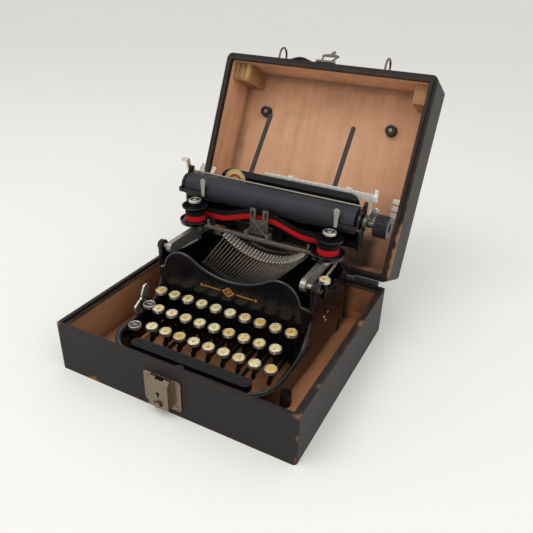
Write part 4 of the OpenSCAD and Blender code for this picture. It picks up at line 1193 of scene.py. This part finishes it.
class TYPEWRITER_OT_carriage(bpy.types.Operator):
    """Finishes the folding arms and the carriage, and adds their small parts"""
    bl_idname = "typewriter.carriage"
    bl_label = "Carriage"

    def execute(self, context):
        for look, *nodes in (
                ("bright_nickel", "mainspring_drum", "line_space_lever"),
                ("fold_nickel", "fold_frame"), ("vibrator_steel", "ribbon_vibrator"),
                ("rail_nickel", "margin_rail"), ("enamel", "carriage_frame"),
                ("table_enamel", "paper_table"), ("rest_enamel", "paper_rests"),
                ("platen_rubber", "platen")):
            paint(look, *nodes)
        for step, x in enumerate((-81, 91)):
            finger = blade([(x, 64.7, z) for z in (147, 158, 165.5)], 3.5, 0.95, 3.7, 0.62)
            new_piece(f"paper_finger_{step}", finger, "carriage", "finger_nickel", "nickel",
                      MACHINE)
        rod = tube([mm(x, 91, 166.2) for x in (-112.6, 112.6)], 0.00135)
        ears = [blade([(-104, 91.0, 163.6), (-103, 93.4, 166), (-99.6, 95, 174)], 2.6, 0.6, 2.9),
                blade([(-88, 91.0, 163.6), (-87, 93.4, 166), (-84, 95, 172.5)], 2.6, 0.6, 2.9),
                blade([(115.8, 95, 146), (120, 95, 152), (126, 95, 163)], 3.2, 0.6, 3.4)]
        folds = [(101.4, 140.2), (99.6, 136), (97.8, 131), (96.4, 125), (95.7, 119),
                 (95.4, 113.6), (96.0, 112.9), (96.8, 113.5), (97.0, 119), (97.8, 125),
                 (99.2, 131), (101, 136), (102.6, 140.2)]
        apron = lengthwise(folds, (-112.4, 0, 112.4))
        wire = [(9.2, 58.5, 147.5), (8.2, 58.6, 151), (4, 58.9, 156.5), (0.4, 59.2, 161)]
        wire = [mm(-x, y, z) for x, y, z in wire] + [mm(*point) for point in wire[::-1]]
        guide = tube(wire, 0.00055)
        struts = [blade([(x * 10.5, 56.9, 117), (0, 56.6, 127.5), (x * -8.5, 56.9, 136)],
                        1.1, 0.45, 1.2) for x in (-1, 1)]
        stay = blade([(92.0, 16, 91.5), (92.0, 50, 93.5), (92.0, 79, 95.5)], 2.6, 0.7, 2.6,
                     wide=(0, 0, 1))
        for name, mesh, body, look, slot in (
                ("scale_rod", rod, "carriage", "rod_steel", "nickel"),
                ("carriage_ears", joined(ears), "carriage", "bright_nickel", "nickel"),
                ("carriage_apron", apron, "carriage", "enamel", "enamel"),
                ("vibrator_guide", guide, "vibrator", "enamel", "enamel"),
                ("vibrator_struts", joined(struts), "vibrator", "vibrator_steel", "steel"),
                ("fold_stay", stay, "fold", "bright_nickel", "nickel")):
            new_piece(name, mesh, body, look, slot, MACHINE)
        return {"FINISHED"}


class TYPEWRITER_OT_stage(bpy.types.Operator):
    """Sets the floor, the soft lamps and the camera"""
    bl_idname = "typewriter.stage"
    bl_label = "Stage"

    def execute(self, context):
        scene, setup = context.scene, context.scene.typewriter_stage
        floor = bmesh.new()
        bmesh.ops.create_grid(floor, x_segments=8, y_segments=8, size=15.0)
        data = bpy.data.meshes.new("floor")
        floor.to_mesh(data)
        floor.free()
        data.materials.append(pale_floor(Finish(bpy.data.materials.new("floor_cloth")),
                                         tuple(setup.floor)))
        ground = bpy.data.objects.new("floor", data)
        scene.collection.objects.link(ground)

        self.lamp(scene, "key_lamp", setup.lamp, 1.2, (-0.55, -0.8, 1.7))
        self.lamp(scene, "fill_lamp", setup.fill, 0.9, (1.0, -0.4, 1.2))
        scene.world = self.room(setup)
        scene.view_settings.view_transform = "Standard"

        camera = bpy.data.objects.new("camera", bpy.data.cameras.new("camera"))
        scene.collection.objects.link(camera)
        camera.data.lens = setup.lens
        camera.data.sensor_width = 36.0
        camera.data.clip_start = 0.01
        a, e = setup.azimuth, setup.elevation
        back = Vector((math.sin(a) * math.cos(e), -math.cos(a) * math.cos(e), math.sin(e)))
        camera.rotation_mode = "QUATERNION"
        camera.location = setup.eye
        camera.rotation_quaternion = ((-back).to_track_quat("-Z", "Y")
                                      @ Quaternion((0, 0, 1), setup.roll))
        scene.camera = camera
        return {"FINISHED"}

    @staticmethod
    def room(setup):
        """Even light all round, which cameras and mirrors see as pale as the floor."""
        air = Finish(bpy.data.worlds.new("room"))
        strength = setup.room + air.seen() * (setup.backdrop - setup.room)
        sky = air.node("ShaderNodeBackground", None, {
            "Color": (1.0, 0.99, 0.97, 1.0), "Strength": strength})
        air.node("ShaderNodeOutputWorld", None, {"Surface": sky})
        return air.block

    @staticmethod
    def lamp(scene, name, power, size, at):
        """A square soft lamp, aimed at the machine."""
        light = bpy.data.lights.new(name, "AREA")
        light.energy = power
        light.size = size
        holder = bpy.data.objects.new(name, light)
        scene.collection.objects.link(holder)
        holder.location = at
        aim = Vector((0.0, 0.0, 0.1)) - Vector(at)
        holder.rotation_mode = "QUATERNION"
        holder.rotation_quaternion = aim.to_track_quat("-Z", "Y")


class TYPEWRITER_PT_dressing(bpy.types.Panel):
    """Lists the typewriter's operators"""
    bl_idname = "TYPEWRITER_PT_dressing"
    bl_label = "Typewriter"
    bl_space_type = "VIEW_3D"
    bl_region_type = "UI"
    bl_category = "Typewriter"

    def draw(self, context):
        column = self.layout.column()
        for step in STEPS:
            column.operator(step.bl_idname)
        for group in (context.scene.typewriter_looks, context.scene.typewriter_stage):
            for name in group.__annotations__:
                column.prop(group, name)


STEPS = (TYPEWRITER_OT_case, TYPEWRITER_OT_blocks, TYPEWRITER_OT_handle, TYPEWRITER_OT_hasp,
         TYPEWRITER_OT_casting, TYPEWRITER_OT_keys, TYPEWRITER_OT_type_basket,
         TYPEWRITER_OT_ribbon, TYPEWRITER_OT_carriage, TYPEWRITER_OT_stage)
CLASSES = (TypewriterLooks, TypewriterStage, *STEPS, TYPEWRITER_PT_dressing)


def register():
    for cls in CLASSES:
        bpy.utils.register_class(cls)
    bpy.types.Scene.typewriter_looks = bpy.props.PointerProperty(type=TypewriterLooks)
    bpy.types.Scene.typewriter_stage = bpy.props.PointerProperty(type=TypewriterStage)


def unregister():
    del bpy.types.Scene.typewriter_stage
    del bpy.types.Scene.typewriter_looks
    for cls in reversed(CLASSES):
        bpy.utils.unregister_class(cls)


def main():
    register()
    for step in STEPS:
        group, name = step.bl_idname.split(".")
        getattr(getattr(bpy.ops, group), name)()


if __name__ == "__main__":
    main()
